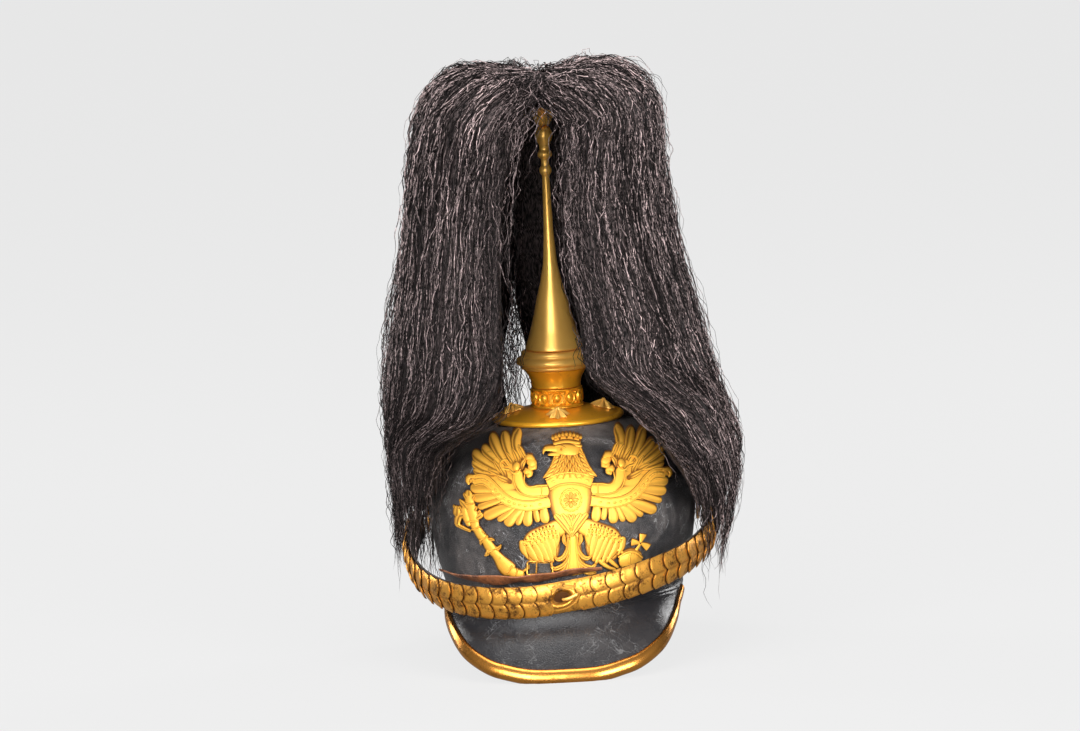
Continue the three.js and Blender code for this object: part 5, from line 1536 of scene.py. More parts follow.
SCROLLS = [
    [(-40, 14.5, 1.1), (-44, 15, 1.5), (-45.5, 17.5, 1.6), (-44, 19.5, 1.5), (-41, 20, 1.3),
     (-39.5, 18, 1.1)],
    [(-39, 14, 1.2), (-37, 12.5, 1.5), (-34, 13, 1.4), (-32.5, 15, 1.0)],
]
KNOBS = [
    [(-27.5, 22, 2.6), (-25.5, 22.4, 3), (-23.8, 21.4, 2)],
    [(-25.4, 19.4, 4.2), (-24, 19, 4.4)],
    [(-23, 17, 3), (-23.5, 16, 3.4), (-25.5, 16.4, 2.8)],
    [(-28.5, 14, 3), (-27.5, 14.6, 3.4), (-25.5, 13.6, 2.6)],
    [(-27, 11.8, 2.6), (-25.6, 12.4, 2.4)],
    [(-35, 16.5, 4), (-34.8, 16.8, 4)],
]
ARM = [[(-33.8, 13, 6.2), (-33.5, 8.5, 7), (-30.5, 4, 7), (-26, 2.2, 6.6), (-15, 2.6, 6.6)]]
ARM_LINES = [
    [(-37, 11.5, 1), (-37, 8, 1), (-35, 3, 1), (-31.5, 0.3, 1), (-25, -1, 1), (-15, -0.6, 1)],
    [(-29.5, 12, 1), (-30, 8, 1), (-28.4, 5.2, 1), (-25, 4.8, 1), (-22, 5.6, 1), (-15, 6, 1)],
    [(-18.6, 5.4, 1), (-18.6, -0.2, 1)],
]
RIBBON_PATH = [(-63.5, 6.2), (-60.5, 7.2), (-56.5, 7.5), (-52, 5), (-46.5, -0.5), (-40.5, -4.6),
               (-33.5, -6.6), (-25.5, -6.9), (-14, -4.6)]
RIBBON_WIDTH = 6.6
CURL = [[(-67, 4.4, 2.4), (-67.8, 6.2, 3), (-66, 8.4, 2.8), (-63, 8.6, 2)]]
CURL_HUB = [[(-65.6, 5.6, 2.6), (-65.2, 6, 2.6)]]


def beside(path, offset):
    """The path moved sideways, to the left of its own direction."""
    path = np.asarray(path, float)
    way = unit(np.gradient(path, axis=0))
    return path + offset * np.stack([-way[:, 1], way[:, 0]], -1)


def with_width(path, width):
    """The places of a path as stroke rows of one width."""
    return [(x, z, width) for x, z in path]


def ovals_along(path, count, length, width):
    """Short strokes at even places along a smooth curve, each lying along it."""
    fine = smooth_read(np.arange(len(path)), path, np.linspace(0.6, len(path) - 1.5, count))
    way = unit(np.gradient(fine, axis=0))
    return [[(*(p - v * length / 2), width), (*(p + v * length / 2), width)]
            for p, v in zip(fine, way)]


ribbon = [with_width(RIBBON_PATH, RIBBON_WIDTH)]
ribbon_lines = [with_width(beside(RIBBON_PATH, side * (RIBBON_WIDTH / 2 - 0.4)), 0.95)
                for side in (-1, 1)]
motif = ovals_along(RIBBON_PATH, 15, 0.9, 1.5)
both_sides([
    (WING_GROUND, 1, dict(edge=0.9, crown=1.1, cap=0.6)),
    (UPPER_FEATHERS, 1.3, dict(edge=1.1, crown=2.4, groove=0.5, groove_side=0.35, tilt=0.5)),
    (LOWER_FEATHERS, 1.32, dict(edge=1.1, crown=2.5, groove=0.45, groove_side=-0.2, tilt=0.4)),
    (COVERTS, 1.1, dict(edge=1.7, crown=2.9, groove=0.35, rise=0.5)),
    (ARM, 1, dict(edge=2.0, crown=2.5, cap=0.4)),
    (SCROLLS, 1, dict(edge=1.9, crown=2.8)),
    (ARM_LINES, 1, dict(edge=2.2, crown=3.1)),
    (ribbon, 1, dict(edge=2.3, crown=2.2, cap=0.3)),
    (ribbon_lines, 1, dict(edge=2.3, crown=3.0)),
    (motif, 1, dict(edge=2.2, crown=2.9)),
    (CURL, 1, dict(edge=2.2, crown=3.2)),
    (CURL_HUB, 1, dict(edge=2.0, crown=2.6, dirt=0.3)),
    (KNOBS, 1.3, dict(edge=1.7, crown=4.5)),
])
print("wing strokes:", len(PLATE_PARTS))

# %% [markdown]
# The body is a domed shield under a band, with a rosette on the breast, pointed feathers down
# the neck and chevrons on the belly. The head looks to the left, under a crown of pearls.

# %% Front plate: body, neck and head
BODY = [
    [(0.4, 27, 8), (0.4, 22.5, 11), (0.4, 15.5, 17), (0.4, 9, 25)],
    [(0.4, 9.6, 28), (0.4, 2.5, 30), (0.4, -6, 28), (0.4, -14.4, 23)],
    [(0.4, -12.5, 22), (0.5, -19, 16), (0.5, -24.5, 7.6), (0.5, -27.6, 2)],
]
BAND = [(-14.2, 6.5), (-8, 9.4), (0, 10.4), (8.4, 9.4), (14.8, 6.9)]
CHEVRONS = [
    [(-9, -14, 4.4), (-4, -20, 4.6), (0.2, -26.4, 1.6)],
    [(-5, -13.5, 3.8), (-2, -18, 4.2), (0.5, -22.5, 1.3)],
    [(-1.2, -13.5, 2.8), (0, -16.5, 3), (0.6, -19, 1)],
]
CROWN_ARC = [(-9.8, 30.7), (-5.6, 31.8), (-1, 32.3), (3.6, 31.9), (7.8, 30.6)]
CROWN_BANDS = [
    [(-9.4, 29.6, 1.6), (-1.6, 30.6, 1.8), (7.4, 29.6, 1.6)],
    [(-8.5, 28.2, 1.5), (0, 29.2, 1.9), (8.4, 27.9, 1.5)],
]
HEAD = [
    [(-6.5, 26.6, 5.8), (-1, 26.6, 6.8), (4.6, 26, 5.8)],
    [(-8, 26.8, 4), (-12.5, 27, 3.2), (-15.3, 26.8, 2.6), (-16.8, 25.4, 1.7), (-16.8, 24, 0.6)],
    [(-7, 24, 3), (-11.6, 23.9, 2), (-13.4, 23.6, 1)],
]
BROW = [[(-8, 28.4, 1.1), (-5, 28.6, 1.4), (-2, 27.8, 0.9)]]
EYE = [[(-5, 26.9, 1.7), (-4.7, 26.9, 1.7)]]


def pearls(path, count, width):
    """Round strokes at even places along a path."""
    fine = smooth_read(np.arange(len(path)), path, np.linspace(0, len(path) - 1, count))
    return [[(x - 0.1, z, width), (x + 0.1, z, width)] for x, z in fine]


def neck_feathers():
    """Rows of pointed feathers down the neck, each row lapping over the one below. In a row
    they fan out from the middle, and the outermost ones stick out past the outline."""
    strokes = []
    for z, half, count in ((12.6, 14.2, 9), (15.2, 12.4, 8), (17.8, 10.8, 7), (20.4, 9.6, 6),
                           (23, 8.6, 5), (25.4, 7.4, 4)):
        for share in np.linspace(-1, 1, count):
            x = BODY_MIDDLE + 0.74 * half * share
            tip = BODY_MIDDLE + 1.24 * half * share
            strokes.append([(x, z + 2.2, 2.8), ((x + tip) / 2, z + 0.2, 3.5), (tip, z - 2.1, 0.8)])
    return strokes


def rosette(x, z, petals, radius):
    """Petals round a button, and a ring of small leaves outside them."""
    angles = np.arange(petals) * 2 * np.pi / petals
    inner = [[(x + 1.9 * np.sin(a), z + 1.9 * np.cos(a), 1.3),
              (x + 0.6 * radius * np.sin(a), z + 0.6 * radius * np.cos(a), 2.6)] for a in angles]
    outer = []
    for a in np.arange(2 * petals) * np.pi / petals:
        start, end = a - 0.16, a + 0.2
        outer.append([(x + radius * np.sin(start), z + radius * np.cos(start), 1.5),
                      (x + 1.12 * radius * np.sin(end), z + 1.12 * radius * np.cos(end), 0.8)])
    return inner, outer


draw_strokes(BODY, edge=1.6, crown=2.0, cap=0.15, on_body=True)
draw_strokes([with_width(BAND, 6.4)], edge=2.5, crown=2.6, cap=0.1, on_body=True)
draw_strokes([with_width(beside(BAND, side * 3.3), 1) for side in (-1, 1)], edge=2.3,
             crown=3.2, on_body=True)
draw_strokes(ovals_along(BAND, 5, 1.2, 1.7), edge=2.5, crown=3.1, on_body=True)
draw_strokes(neck_feathers(), edge=1.7, crown=2.9, groove=0.3, rise=1.1, on_body=True)
petals, leaves = rosette(0.6, -3.2, 8, 6.6)
draw_strokes(petals, edge=2.1, crown=3.2, groove=0.3, on_body=True)
draw_strokes(leaves, edge=2.0, crown=2.8, on_body=True)
draw_strokes([[(0.5, -3.2, 2.6), (0.7, -3.2, 2.6)]], edge=2.6, crown=3.9, on_body=True)
for level, shape in enumerate(CHEVRONS):
    draw_strokes([shape, *mirror([shape], 0.5)], edge=1.9 + 0.2 * level, crown=2.7 + 0.2 * level,
                 groove=0.35, on_body=True)
draw_strokes(HEAD, edge=2.2, crown=3.8, on_body=True)
draw_strokes(CROWN_BANDS, edge=2.6, crown=4.0)
draw_strokes([with_width(CROWN_ARC, 3)], edge=1.2, crown=1.6, cap=0.5)
draw_strokes(pearls(beside(CROWN_ARC, 1.5), 9, 2.0), edge=1.6, crown=3.3)
draw_strokes([with_width(beside(CROWN_ARC, -1.4), 1.3)], edge=1.8, crown=3.0)
draw_strokes(pearls(CROWN_ARC, 5, 1.4), edge=1.5, crown=1.8, dirt=1.0)
draw_strokes(BROW, edge=3.4, crown=4.4, on_body=True)
draw_strokes(EYE, edge=3.0, crown=4.4, dirt=0.6, on_body=True)
print("strokes with the head:", len(PLATE_PARTS))

# %% [markdown]
# The thighs are covered in scallops, row behind row, and long leaves hang from them. The tail
# is a fan of stems with curled fronds; the shell shows through the gaps beside it.

# %% Front plate: legs and tail
LEG_MIDDLE = 1.0
THIGH = [[(-7, -21, 11), (-15.5, -25.5, 12.5), (-24.5, -28.6, 10.6), (-29, -32.4, 7)]]
SCALLOP_ROWS = [
    ((-11.5, -20, -22, -20, -32, -31.5), 10, 2.0), ((-10, -23, -20, -22.6, -29.5, -33), 9, 1.8),
    ((-9, -26, -18, -26, -25.5, -33), 7, 1.5),
]
HANGING_LEAVES = [
    [(-32.4, -32, 2.6), (-31.6, -36.5, 2.8), (-29, -41.5, 0.9)],
    [(-28.5, -34, 3), (-26, -39, 3.2), (-21.5, -45.4, 1.2)],
    [(-24.5, -32.5, 3.2), (-21.6, -38.6, 3.4), (-18.5, -46, 1.3)],
    [(-21.5, -31, 3.4), (-18.4, -37.5, 3.6), (-14.4, -45.5, 1.5)],
    [(-18, -30, 3.8), (-15.4, -36.5, 3.8), (-12.8, -43.4, 1.8)],
    [(-14, -28, 3.8), (-12.6, -34, 3.8), (-11.2, -40.4, 1.8)],
    [(-10, -24.5, 3.6), (-9.6, -29, 3.2), (-9.8, -34, 1.4)],
]
CLAWS = [
    [(17, -43, 3.2), (20, -46, 3.4), (24, -49.4, 3), (28.5, -51.4, 2)],
    [(23.5, -42.4, 2.8), (26.5, -46, 3.2), (30.5, -50, 2.2)],
    [(31, -38.4, 2.8), (33.6, -40, 3), (35, -42.4, 1.4)],
    [(-16.4, -44, 3.2), (-19, -46.4, 3.2), (-22.4, -49.4, 2)],
    [(-24, -44.6, 2.8), (-28, -48, 3), (-31.5, -50.6, 1.8)],
]
LEG_GROUND = [[(-27.5, -37, 11), (-21.5, -40, 14), (-15, -38.6, 13), (-11.4, -30, 9)]]
TAIL_GROUND = [[(1.3, -21, 8), (1.3, -33, 10.5), (1.3, -42, 13), (1.3, -50, 19)]]
TAIL = [
    [(1.3, -28, 5), (1.3, -37.5, 5.4), (1.3, -49.5, 9)],
    [(-0.6, -30, 1.7), (-1.2, -40, 2.4), (-3.2, -50, 3)],
    [(3.2, -30, 1.7), (3.8, -40, 2.4), (5.8, -50, 3)],
    [(1.3, -29, 1.8), (1.3, -39.5, 2.6), (1.3, -50.5, 3)],
]
FRONDS = [
    [(-1.8, -28.6, 1.6), (-2.6, -36, 2.2), (-5.2, -41, 2.8), (-8.6, -42.7, 2.6), (-10.4, -41.6, 1.7)],
    [(-4.5, -26.8, 1.8), (-4.7, -30, 2.5), (-3.6, -33, 1)],
    [(-1.4, -39, 1.8), (-3.5, -44.5, 2.4), (-7.4, -47.8, 2.7), (-11.4, -49, 2.7),
     (-13.4, -47.4, 1.9)],
    [(-2.4, -44.5, 2), (-4.6, -49.6, 2.6), (-9, -52.4, 2.8), (-13.4, -52.6, 1.7)],
]


def scallop_row(curve, count, width):
    """Small lobes at even steps along a bent line, each pointing down from it. The line is
    (1-t)²·a + 2t(1-t)·b + t²·c."""
    a, b, c = np.array(curve, float).reshape(3, 2)
    strokes = []
    for t in np.linspace(0, 1, count):
        point = (1 - t) ** 2 * a + 2 * t * (1 - t) * b + t * t * c
        way = unit((1 - t) * (b - a) + t * (c - b))
        down = np.array([way[1], -way[0]]) * (1 if way[0] > 0 else -1)
        strokes.append([(*point, 0.8 * width), (*(point + 1.6 * down), width)])
    return strokes


both_sides([
    (LEG_GROUND, 1, dict(edge=1.0, crown=1.5, cap=0.7)),
    (THIGH, 1.08, dict(edge=1.4, crown=2.7, cap=0.9)),
    *((scallop_row(*row), 1, dict(edge=2.0, crown=3.5, rise=0.6)) for row in SCALLOP_ROWS),
    (HANGING_LEAVES, 1.7, dict(edge=1.5, crown=3.2, groove=0.35, groove_side=0.2, tilt=0.4)),
    (FRONDS, 1.3, dict(edge=1.5, crown=3.2, groove=0.35)),
], LEG_MIDDLE)
draw_strokes(CLAWS, edge=1.6, crown=3.0)
draw_strokes(TAIL_GROUND, edge=1.0, crown=1.5, cap=0.4)
draw_strokes(TAIL, edge=1.4, crown=3.0)

# %% [markdown]
# The left claw holds a sceptre and the right one an orb with a cross.

# %% Front plate: sceptre and orb
SCEPTRE = [
    [(-66.8, -4, 4.6), (-66, -10, 5.8), (-64.5, -17, 6), (-62.8, -25, 4.4)],
    [(-70.4, -12, 3.4), (-69.4, -17, 4.2), (-67.4, -22.5, 2.8)],
    [(-62.6, -23.6, 4.6), (-59.4, -28.4, 5.6), (-56.6, -31.6, 5)],
    [(-57, -30.6, 4.6), (-53.6, -36, 6), (-50.8, -39.8, 5.2)],
    [(-51.4, -38.6, 4.8), (-48.2, -42.6, 6), (-44.6, -47.4, 8.6), (-41.5, -50.4, 9.2)],
    [(-40, -51.4, 6), (-36.5, -53.2, 6.6), (-33, -53.6, 6)],
]
SCEPTRE_LEAVES = [
    [(-66.8, -4.8, 4.8), (-66.8, -2.8, 5)], [(-68.6, -4.8, 2.6), (-69.5, -3.4, 2.4)],
    [(-65, -4.8, 2.6), (-64, -3.4, 2.4)],
    [(-68.1, -11.9, 3), (-71, -8.9, 4), (-72.6, -7.2, 1.6)],
    [(-73, -17.2, 3.8), (-69, -15.8, 3.8)], [(-75, -15.8, 5), (-74.8, -13.6, 4.6)],
    [(-76.4, -12.4, 2.2), (-76.6, -12, 2)], [(-73.2, -12.2, 2.2), (-73, -11.8, 2)],
    [(-73.8, -18.2, 4), (-75, -21.6, 4.2), (-74.6, -23.4, 3.6)],
    [(-75, -23.6, 2.8), (-71.3, -24.9, 2.6), (-67, -26.2, 2.2)],
    [(-64, -17.8, 3.2), (-61, -16.4, 3.6), (-59.4, -15, 3.4)], [(-60.8, -13.8, 2.2), (-60, -12.8, 2)],
    [(-63.6, -12.6, 2.4), (-62.4, -10.6, 2.4)],
    [(-58, -31, 2.4), (-59.6, -33, 2.4), (-59.8, -34.8, 0.8)],
    [(-54.2, -30.8, 2.4), (-52, -30.4, 2.4), (-50.8, -31, 0.8)],
    [(-54.6, -38.4, 2.8), (-55.6, -40.8, 2.6), (-57.2, -42.2, 0.8)],
    [(-50, -36.8, 2.8), (-47.8, -36, 2.6), (-46.4, -33.8, 0.8)],
    [(-59.6, -25.6, 2.4), (-57.6, -26.4, 2), (-56.8, -27.6, 0.8)],
    [(-48.5, -43.5, 2.6), (-45.6, -46.4, 3.4), (-43.2, -49, 2)],
]
SCEPTRE_RINGS = [
    [(-65.2, -25, 1.5), (-60.6, -22.6, 1.5)], [(-60.2, -31.8, 1.4), (-55.2, -28.4, 1.4)],
    [(-54.8, -39.4, 1.4), (-49.8, -36.2, 1.4)], [(-68.4, -20.2, 1.5), (-62, -19, 1.5)],
    [(-69, -8.4, 1.5), (-63.4, -8, 1.5)],
    [(-42.6, -52.2, 1.4), (-39.4, -47.4, 1.4)], [(-37, -54.4, 1.3), (-36, -49.6, 1.3)],
]
ORB = [[(39, -46, 16), (39.4, -46, 16)]]
ORB_BANDS = [
    [(31.6, -43, 1.6), (37, -40.6, 1.8), (42.5, -41.4, 1.8), (47, -45.4, 1.5)],
    [(39.4, -41, 1.6), (38.6, -45.5, 1.8), (39, -50, 1.5)],
]
CROSS = [
    [(42.6, -41, 2.6), (46, -36.4, 2)], [(45.6, -35.8, 1.6), (42.8, -34.8, 4), (40.2, -34.4, 5.6)],
    [(46.2, -35.4, 1.6), (47.2, -32.6, 4), (48, -30.2, 5.6)],
    [(46.6, -36, 1.6), (49.2, -37.8, 4), (51.4, -39.8, 5.4)],
]
draw_strokes(wider(SCEPTRE, 1.28), edge=1.5, crown=3.4, cap=0.5)
draw_strokes(wider(SCEPTRE_LEAVES, 1.15), edge=1.4, crown=3.3, groove=0.3)
draw_strokes(SCEPTRE_RINGS, edge=2.4, crown=4.1)
draw_strokes(ORB, edge=1.4, crown=4.0)
draw_strokes(ORB_BANDS, edge=3.0, crown=4.5)
draw_strokes(CROSS, edge=1.6, crown=2.5, cap=0.12)

# The low values paint shade along every stroke's edge, with tarnish.
make_piece("eagle_front_plate", join_bodies(PLATE_PARTS), FROSTED,
           ["front_plate"], False, {"low": np.concatenate(PLATE_TARNISH_AND_SHADE)})
print("strokes in all:", len(PLATE_PARTS))

# %% [markdown]
# The plume is too much hair to model one by one. A closed curtain gives it body, and strands
# lie on it, hang over its edges and stick out of it. All of them are placed by one function:
# the row runs from the cup to the tips, the share runs from the front parting to the back, and
# the depth runs from the outer surface to the inner one.

# %% Plume: the hair's surface as a function
PLUME_PROFILE = np.array([  # outer r and z, inner r and z, half parting left and right, sway
    (0, 389, 0, 363, 0.3, 0.3, -1), (18, 391, 9, 366.6, 0.3, 0.3, -2),
    (38, 394.5, 16, 370, 0.3, 0.3, -2), (54, 393.5, 30, 374, 0.3, 0.3, -2),
    (70, 384, 46, 372, 7, 8, -2), (79.5, 368, 57, 360, 13, 14, -2.5),
    (84, 345, 65, 338, 16, 13, -4), (87.5, 312, 69, 308, 19, 12, -6),
    (93.5, 272, 73, 270, 20, 12.5, -6.5), (102, 230, 79, 230, 19.5, 15.5, -6),
    (108.5, 198, 88, 200, 19, 16, -5), (113, 170, 98, 174, 26, 29, -3),
    (116, 145, 104, 148, 45, 36, 1), (117.5, 120, 107, 120, 52, 42, 3.5),
    (116.5, 96, 108, 96, 54, 48, 3), (114, 72, 109.5, 73, 55, 52, 1),
])
PLUME_LOCKS = np.array([  # angle, spread, hem, and how far the tips are drawn in
    (45, 6, 90, 0), (65, 5, 62, 5), (80, 3, 66, 11), (100, 2, 74, 13), (135, 2, 76, 6),
    (180, 2, 70, 0), (215, 2, 64, 0), (229, 1, 40, 0), (244, 0, 62, 0), (265, 0.5, 74, 3),
    (290, 1, 80, 2), (310, 0, 98, 0),
])
FALL_HEIGHT, LAST_ROW = 170.0, len(PLUME_PROFILE) - 1
SLIT_ANGLE, SLIT_WIDTH = 193.0, 5.5
TOP_DIP = 6.5
LOCK_HEIGHT, LOCK_ROUND, LOCK_DOWN = 3.6, 230.0, 6.0
HALF_TURN = 2.9  # radians from the parting to the slit
ROW_KEYS = np.arange(LAST_ROW + 1)
STEP_LENGTH = np.linalg.norm(np.gradient(PLUME_PROFILE[:, :2], axis=0), axis=1)
ROW_LENGTH = np.concatenate([[0], np.cumsum((STEP_LENGTH[1:] + STEP_LENGTH[:-1]) / 2)])


def plume_point(side, row, share, depth, lift=0.0):
    """Point of the hair. side is +1 right and -1 left, row is a place in the profile, share
    runs from the parting to the slit at the back, and lift is out along the profile's own
    normal. The top dips by cos⁴ of the angle, which leaves two humps. Below the fall height
    the height is stretched to the hem, and low at the back the halves are pushed apart.
    Towards the hem the tips are drawn in. Slow waves raise and sink the hair in locks."""
    side, row, share, depth, lift = np.broadcast_arrays(side, row, share, depth, lift)
    down = row * LOCK_DOWN + 3 * np.sin(share * 40)
    lock = np.stack([share * LOCK_ROUND, down, 50 * side + 0 * row], -1)
    lump = slow_waves(lock, 13, 3) + 0.6 * slow_waves(lock, 27, 4)
    lift = lift + LOCK_HEIGHT * lump * blend_step(0.5, 3, row) * (1 - depth)
    rows = smooth_read(ROW_KEYS, PLUME_PROFILE, row)
    out, into = rows[..., :2], rows[..., 2:4]
    run = smooth_read(ROW_KEYS, PLUME_PROFILE[:, :2], np.minimum(row + 0.05, LAST_ROW))
    run = unit(run - smooth_read(ROW_KEYS, PLUME_PROFILE[:, :2], row - 0.05))
    normal = np.stack([-run[..., 1], run[..., 0]], -1)
    flat = out + (into - out) * depth[..., None] + lift[..., None] * normal
    radius, height = flat[..., 0], flat[..., 1]
    right_angle = rows[..., 5] + share * (SLIT_ANGLE - rows[..., 5])
    left_angle = 360 - rows[..., 4] - share * (360 - SLIT_ANGLE - rows[..., 4])
    angle = np.where(side > 0, right_angle, left_angle)
    dip = TOP_DIP * np.cos(np.radians(angle)) ** 4 * blend_step(8, 30, radius)
    height = height - dip * blend_step(352, 388, height)
    hem = np.interp(angle, PLUME_LOCKS[:, 0], PLUME_LOCKS[:, 2])
    fallen = (FALL_HEIGHT - height) / (FALL_HEIGHT - PLUME_PROFILE[-1, 1])
    height = np.where(fallen > 0, FALL_HEIGHT - fallen * (FALL_HEIGHT - hem), height)
    spread = np.interp(angle, PLUME_LOCKS[:, 0], PLUME_LOCKS[:, 1])
    tuck = np.interp(angle, PLUME_LOCKS[:, 0], PLUME_LOCKS[:, 3])
    radius = radius + spread * blend_step(60, 230, 390 - height)
    radius = radius - tuck * blend_step(0.2, 1, fallen)
    apart = SLIT_WIDTH * (1 - blend_step(172, 250, height)) * blend_step(0.78, 0.98, share)
    turn = np.radians(angle - side * apart)
    return np.stack([radius * np.sin(turn) + rows[..., 6], -radius * np.cos(turn), height], -1)


print(f"hair length {ROW_LENGTH[-1]:.0f} mm")

# %% [markdown]
# The curtain is two closed halves. Towards the parting and the slit each half thins to a
# rounded edge, and its foot is ragged, so that the strands that hang past it look natural.

# %% Plume: the curtain
CURTAIN_ACROSS, CURTAIN_DOWN = 104, 70
# Painted shade: the curtain is darker than the strands, so the gaps between them look deep. By row and
# side the hair also gets painted light and shade: palest on top, darkest low on the left.
CURTAIN_SHADE_TONE = 0.08
LIGHT_AND_SHADE_ROWS = (0, 4, 6, 8, 11, 15)
LIGHT_AND_SHADE_SHARES = {-1: (1.6, 1.6, 1.2, 1.0, 0.35, 0.16), 1: (1.6, 1.6, 1.4, 1.3, 0.85, 0.65)}


def curtain_body(side, seed):
    """Outer and inner grids. The outer one lies inside the surface, so that strands stand in
    front of it. The depth of both moves to the middle at the edges: the share of thickness
    lost is (1 - distance/reach)²."""
    draw = np.random.default_rng(seed)
    share = np.linspace(0, 1, CURTAIN_ACROSS)[:, None] ** 1.15
    down = np.linspace(0, 1, CURTAIN_DOWN)[None, :]
    ragged = 0.5 * slow_waves(np.stack([share * 90, 0 * share, 0 * share], -1), 6, seed)
    ragged = ragged + draw.normal(0, 0.16, share.shape)
    row = (LAST_ROW - 1.35 + ragged) * down ** 0.95
    share = share + 0 * row
    edge = np.maximum(1 - share / 0.07, 0) ** 2 + np.maximum(1 - (1 - share) / 0.035, 0) ** 2
    edge = edge * blend_step(3.4, 5, row)
    edge = np.clip(edge + 0.75 * blend_step(0.86, 1, down), 0, 0.94)
    inset = -1.6 - 3.6 * blend_step(4, 8, row)
    outer = plume_point(side, row, share, 0.06 + 0.49 * edge, inset)
    inner = plume_point(side, row, share, 1 - 0.4 * edge)
    body = sheet_bodies(outer, inner)
    wide = HALF_TURN * 100 * share
    length = np.interp(row, ROW_KEYS, ROW_LENGTH)
    uv = np.stack([wide, length], -1).reshape(-1, 2)
    # The curtain's tone is painted shade, lighter on top and darker low on the left.
    tone = CURTAIN_SHADE_TONE * np.interp(row, LIGHT_AND_SHADE_ROWS, LIGHT_AND_SHADE_SHARES[side]).ravel()
    return body, np.concatenate([uv, uv + (37.0, 0)]), np.tile(tone, 2)


for name, side in SIDES:
    body, uv, tone = curtain_body(side, 20 + side)
    make_piece(f"plume_{name}_curtain", body, HORSEHAIR, ["plume"], False,
               {"tone": tone}, uv, crease=None)

# %% [markdown]
# A strand is a thin tube with three sides that tapers to a point at both ends. Thousands are
# written at once: one array holds the middle lines, and the rings, the faces, the tones and
# the place pairs all follow from it.

# %% Plume: strands as one array
STRAND_STEP, STREAK_WIDTH = 7.31, 401


def strand_bodies(lines, radius, tones, first_length):
    """Closed bodies for middle lines shaped (strand, point, xyz). Each ring has three points
    at thirds of a turn in the plane across the line; the end points close it. Each strand has
    its own place across the streaks, a step further on than the last one's."""
    strands, points, _ = lines.shape
    tangent = unit(np.gradient(lines, axis=1))
    away = unit(lines * (1, 1, 0) + (0.013, 0.007, 0))
    side = unit(np.cross(tangent, away))
    up = np.cross(side, tangent)
    turn = circle(3)
    ring = np.cos(turn)[:, None] * up[:, 1:-1, None] + np.sin(turn)[:, None] * side[:, 1:-1, None]
    rings = lines[:, 1:-1, None] + radius[:, 1:-1, None, None] * ring
    inside = points - 2
    all_points = np.concatenate(
        [rings.reshape(strands, -1, 3), lines[:, :1], lines[:, -1:]], 1)
    one = grid_quads(inside, 3, close_columns=True)
    one = np.concatenate([one[:, [0, 1, 2]], one[:, [0, 2, 3]]])
    k = np.arange(3)
    start, end = 3 * inside, 3 * inside + 1
    head = np.stack([0 * k + start, k, (k + 1) % 3], 1)
    last = 3 * (inside - 1)
    tail = np.stack([0 * k + end, last + (k + 1) % 3, last + k], 1)
    one = np.concatenate([one, head, tail])
    shift = np.arange(strands)[:, None, None] * all_points.shape[1]
    length = np.cumsum(np.linalg.norm(np.diff(lines, axis=1), axis=-1), axis=1)
    length = np.concatenate([np.zeros((strands, 1)), length], 1) + first_length[:, None]
    place_across = (np.arange(strands) * STRAND_STEP % STREAK_WIDTH)[:, None, None] + 0.35 * k
    along = np.broadcast_to(length[:, 1:-1, None], (strands, inside, 3))
    uv_rings = np.stack(np.broadcast_arrays(place_across, along), -1).reshape(strands, -1, 2)
    ends = np.stack([place_across[:, 0, 0], length[:, 0]], -1)[:, None]
    tips = np.stack([place_across[:, 0, 0], length[:, -1]], -1)[:, None]
    uv = np.concatenate([uv_rings, ends, tips], 1).reshape(-1, 2)
    values = {"tone": np.repeat(tones, all_points.shape[1])}
    return (all_points.reshape(-1, 3), (one[None] + shift).reshape(-1, 3)), values, uv


def waves_along(length, count, draw, wave, size):
    """Sideways and outward crimp of each strand: size·sin(2π·length/wave + phase), with a
    slower wave under it, for strands shaped (strand, point)."""
    wave = draw.uniform(*wave, (count, 1))
    size = draw.uniform(*size, (count, 1))
    phase = draw.uniform(0, 2 * np.pi, (3, count, 1))
    turn = 2 * np.pi * length / wave
    sideways = size * np.sin(turn + phase[0]) + 1.6 * size * np.sin(turn / 3.7 + phase[1])
    outward_way = 0.7 * size * np.cos(turn + phase[0]) + size * np.sin(turn / 4.3 + phase[2])
    return sideways, outward_way


def hair_lines(side, draw, share, points, first, reach, depth, clumps, wave, size, lift=0.0,
               stray=0.0):
    """Middle lines of strands that follow the hair. Each starts at a share and a row, runs for
    a length in millimetres, drifts towards its clump as it goes, and strays to one side."""
    count = len(share)
    slant = draw.normal(0, stray, count)
    centre = np.round(share * clumps) / clumps + draw.normal(0, 0.2 / clumps, count)
    start = np.interp(first, ROW_KEYS, ROW_LENGTH)
    t = np.linspace(0, 1, points)[None, :]
    length = start[:, None] + reach[:, None] * t
    longest = ROW_LENGTH[-1]
    row = np.interp(np.minimum(length, longest), ROW_LENGTH, ROW_KEYS)
    sideways, outward_way = waves_along(length, count, draw, wave, size)
    pull = 0.5 * blend_step(0, longest, length) + 0 * t
    shares = share[:, None] + (centre - share)[:, None] * pull
    radius = np.maximum(np.interp(row, ROW_KEYS, PLUME_PROFILE[:, 0]), 12)
    drift = sideways * blend_step(0, 30, length) + slant[:, None] * t
    shares = shares + drift / (radius * HALF_TURN)
    arc = np.broadcast_to(lift, count)[:, None] * np.sin(np.pi * t) ** 2
    away = outward_way * blend_step(0, 50, length) + arc
    lines = plume_point(side, row, np.clip(shares, -0.14, 1.05), depth[:, None], away)
    over = np.maximum(length - longest, 0)
    lines[..., 2] -= over
    lines[..., 0] += 0.1 * np.minimum(over, 8) * sideways
    return lines, start


def taper(count, points, draw, thick):
    """Radius of each strand: its own thickness, thinning as 1 - 0.75·t² to the tip."""
    t = np.linspace(0, 1, points)[None, :]
    return draw.uniform(*thick, (count, 1)) * (1 - 0.75 * t**2)


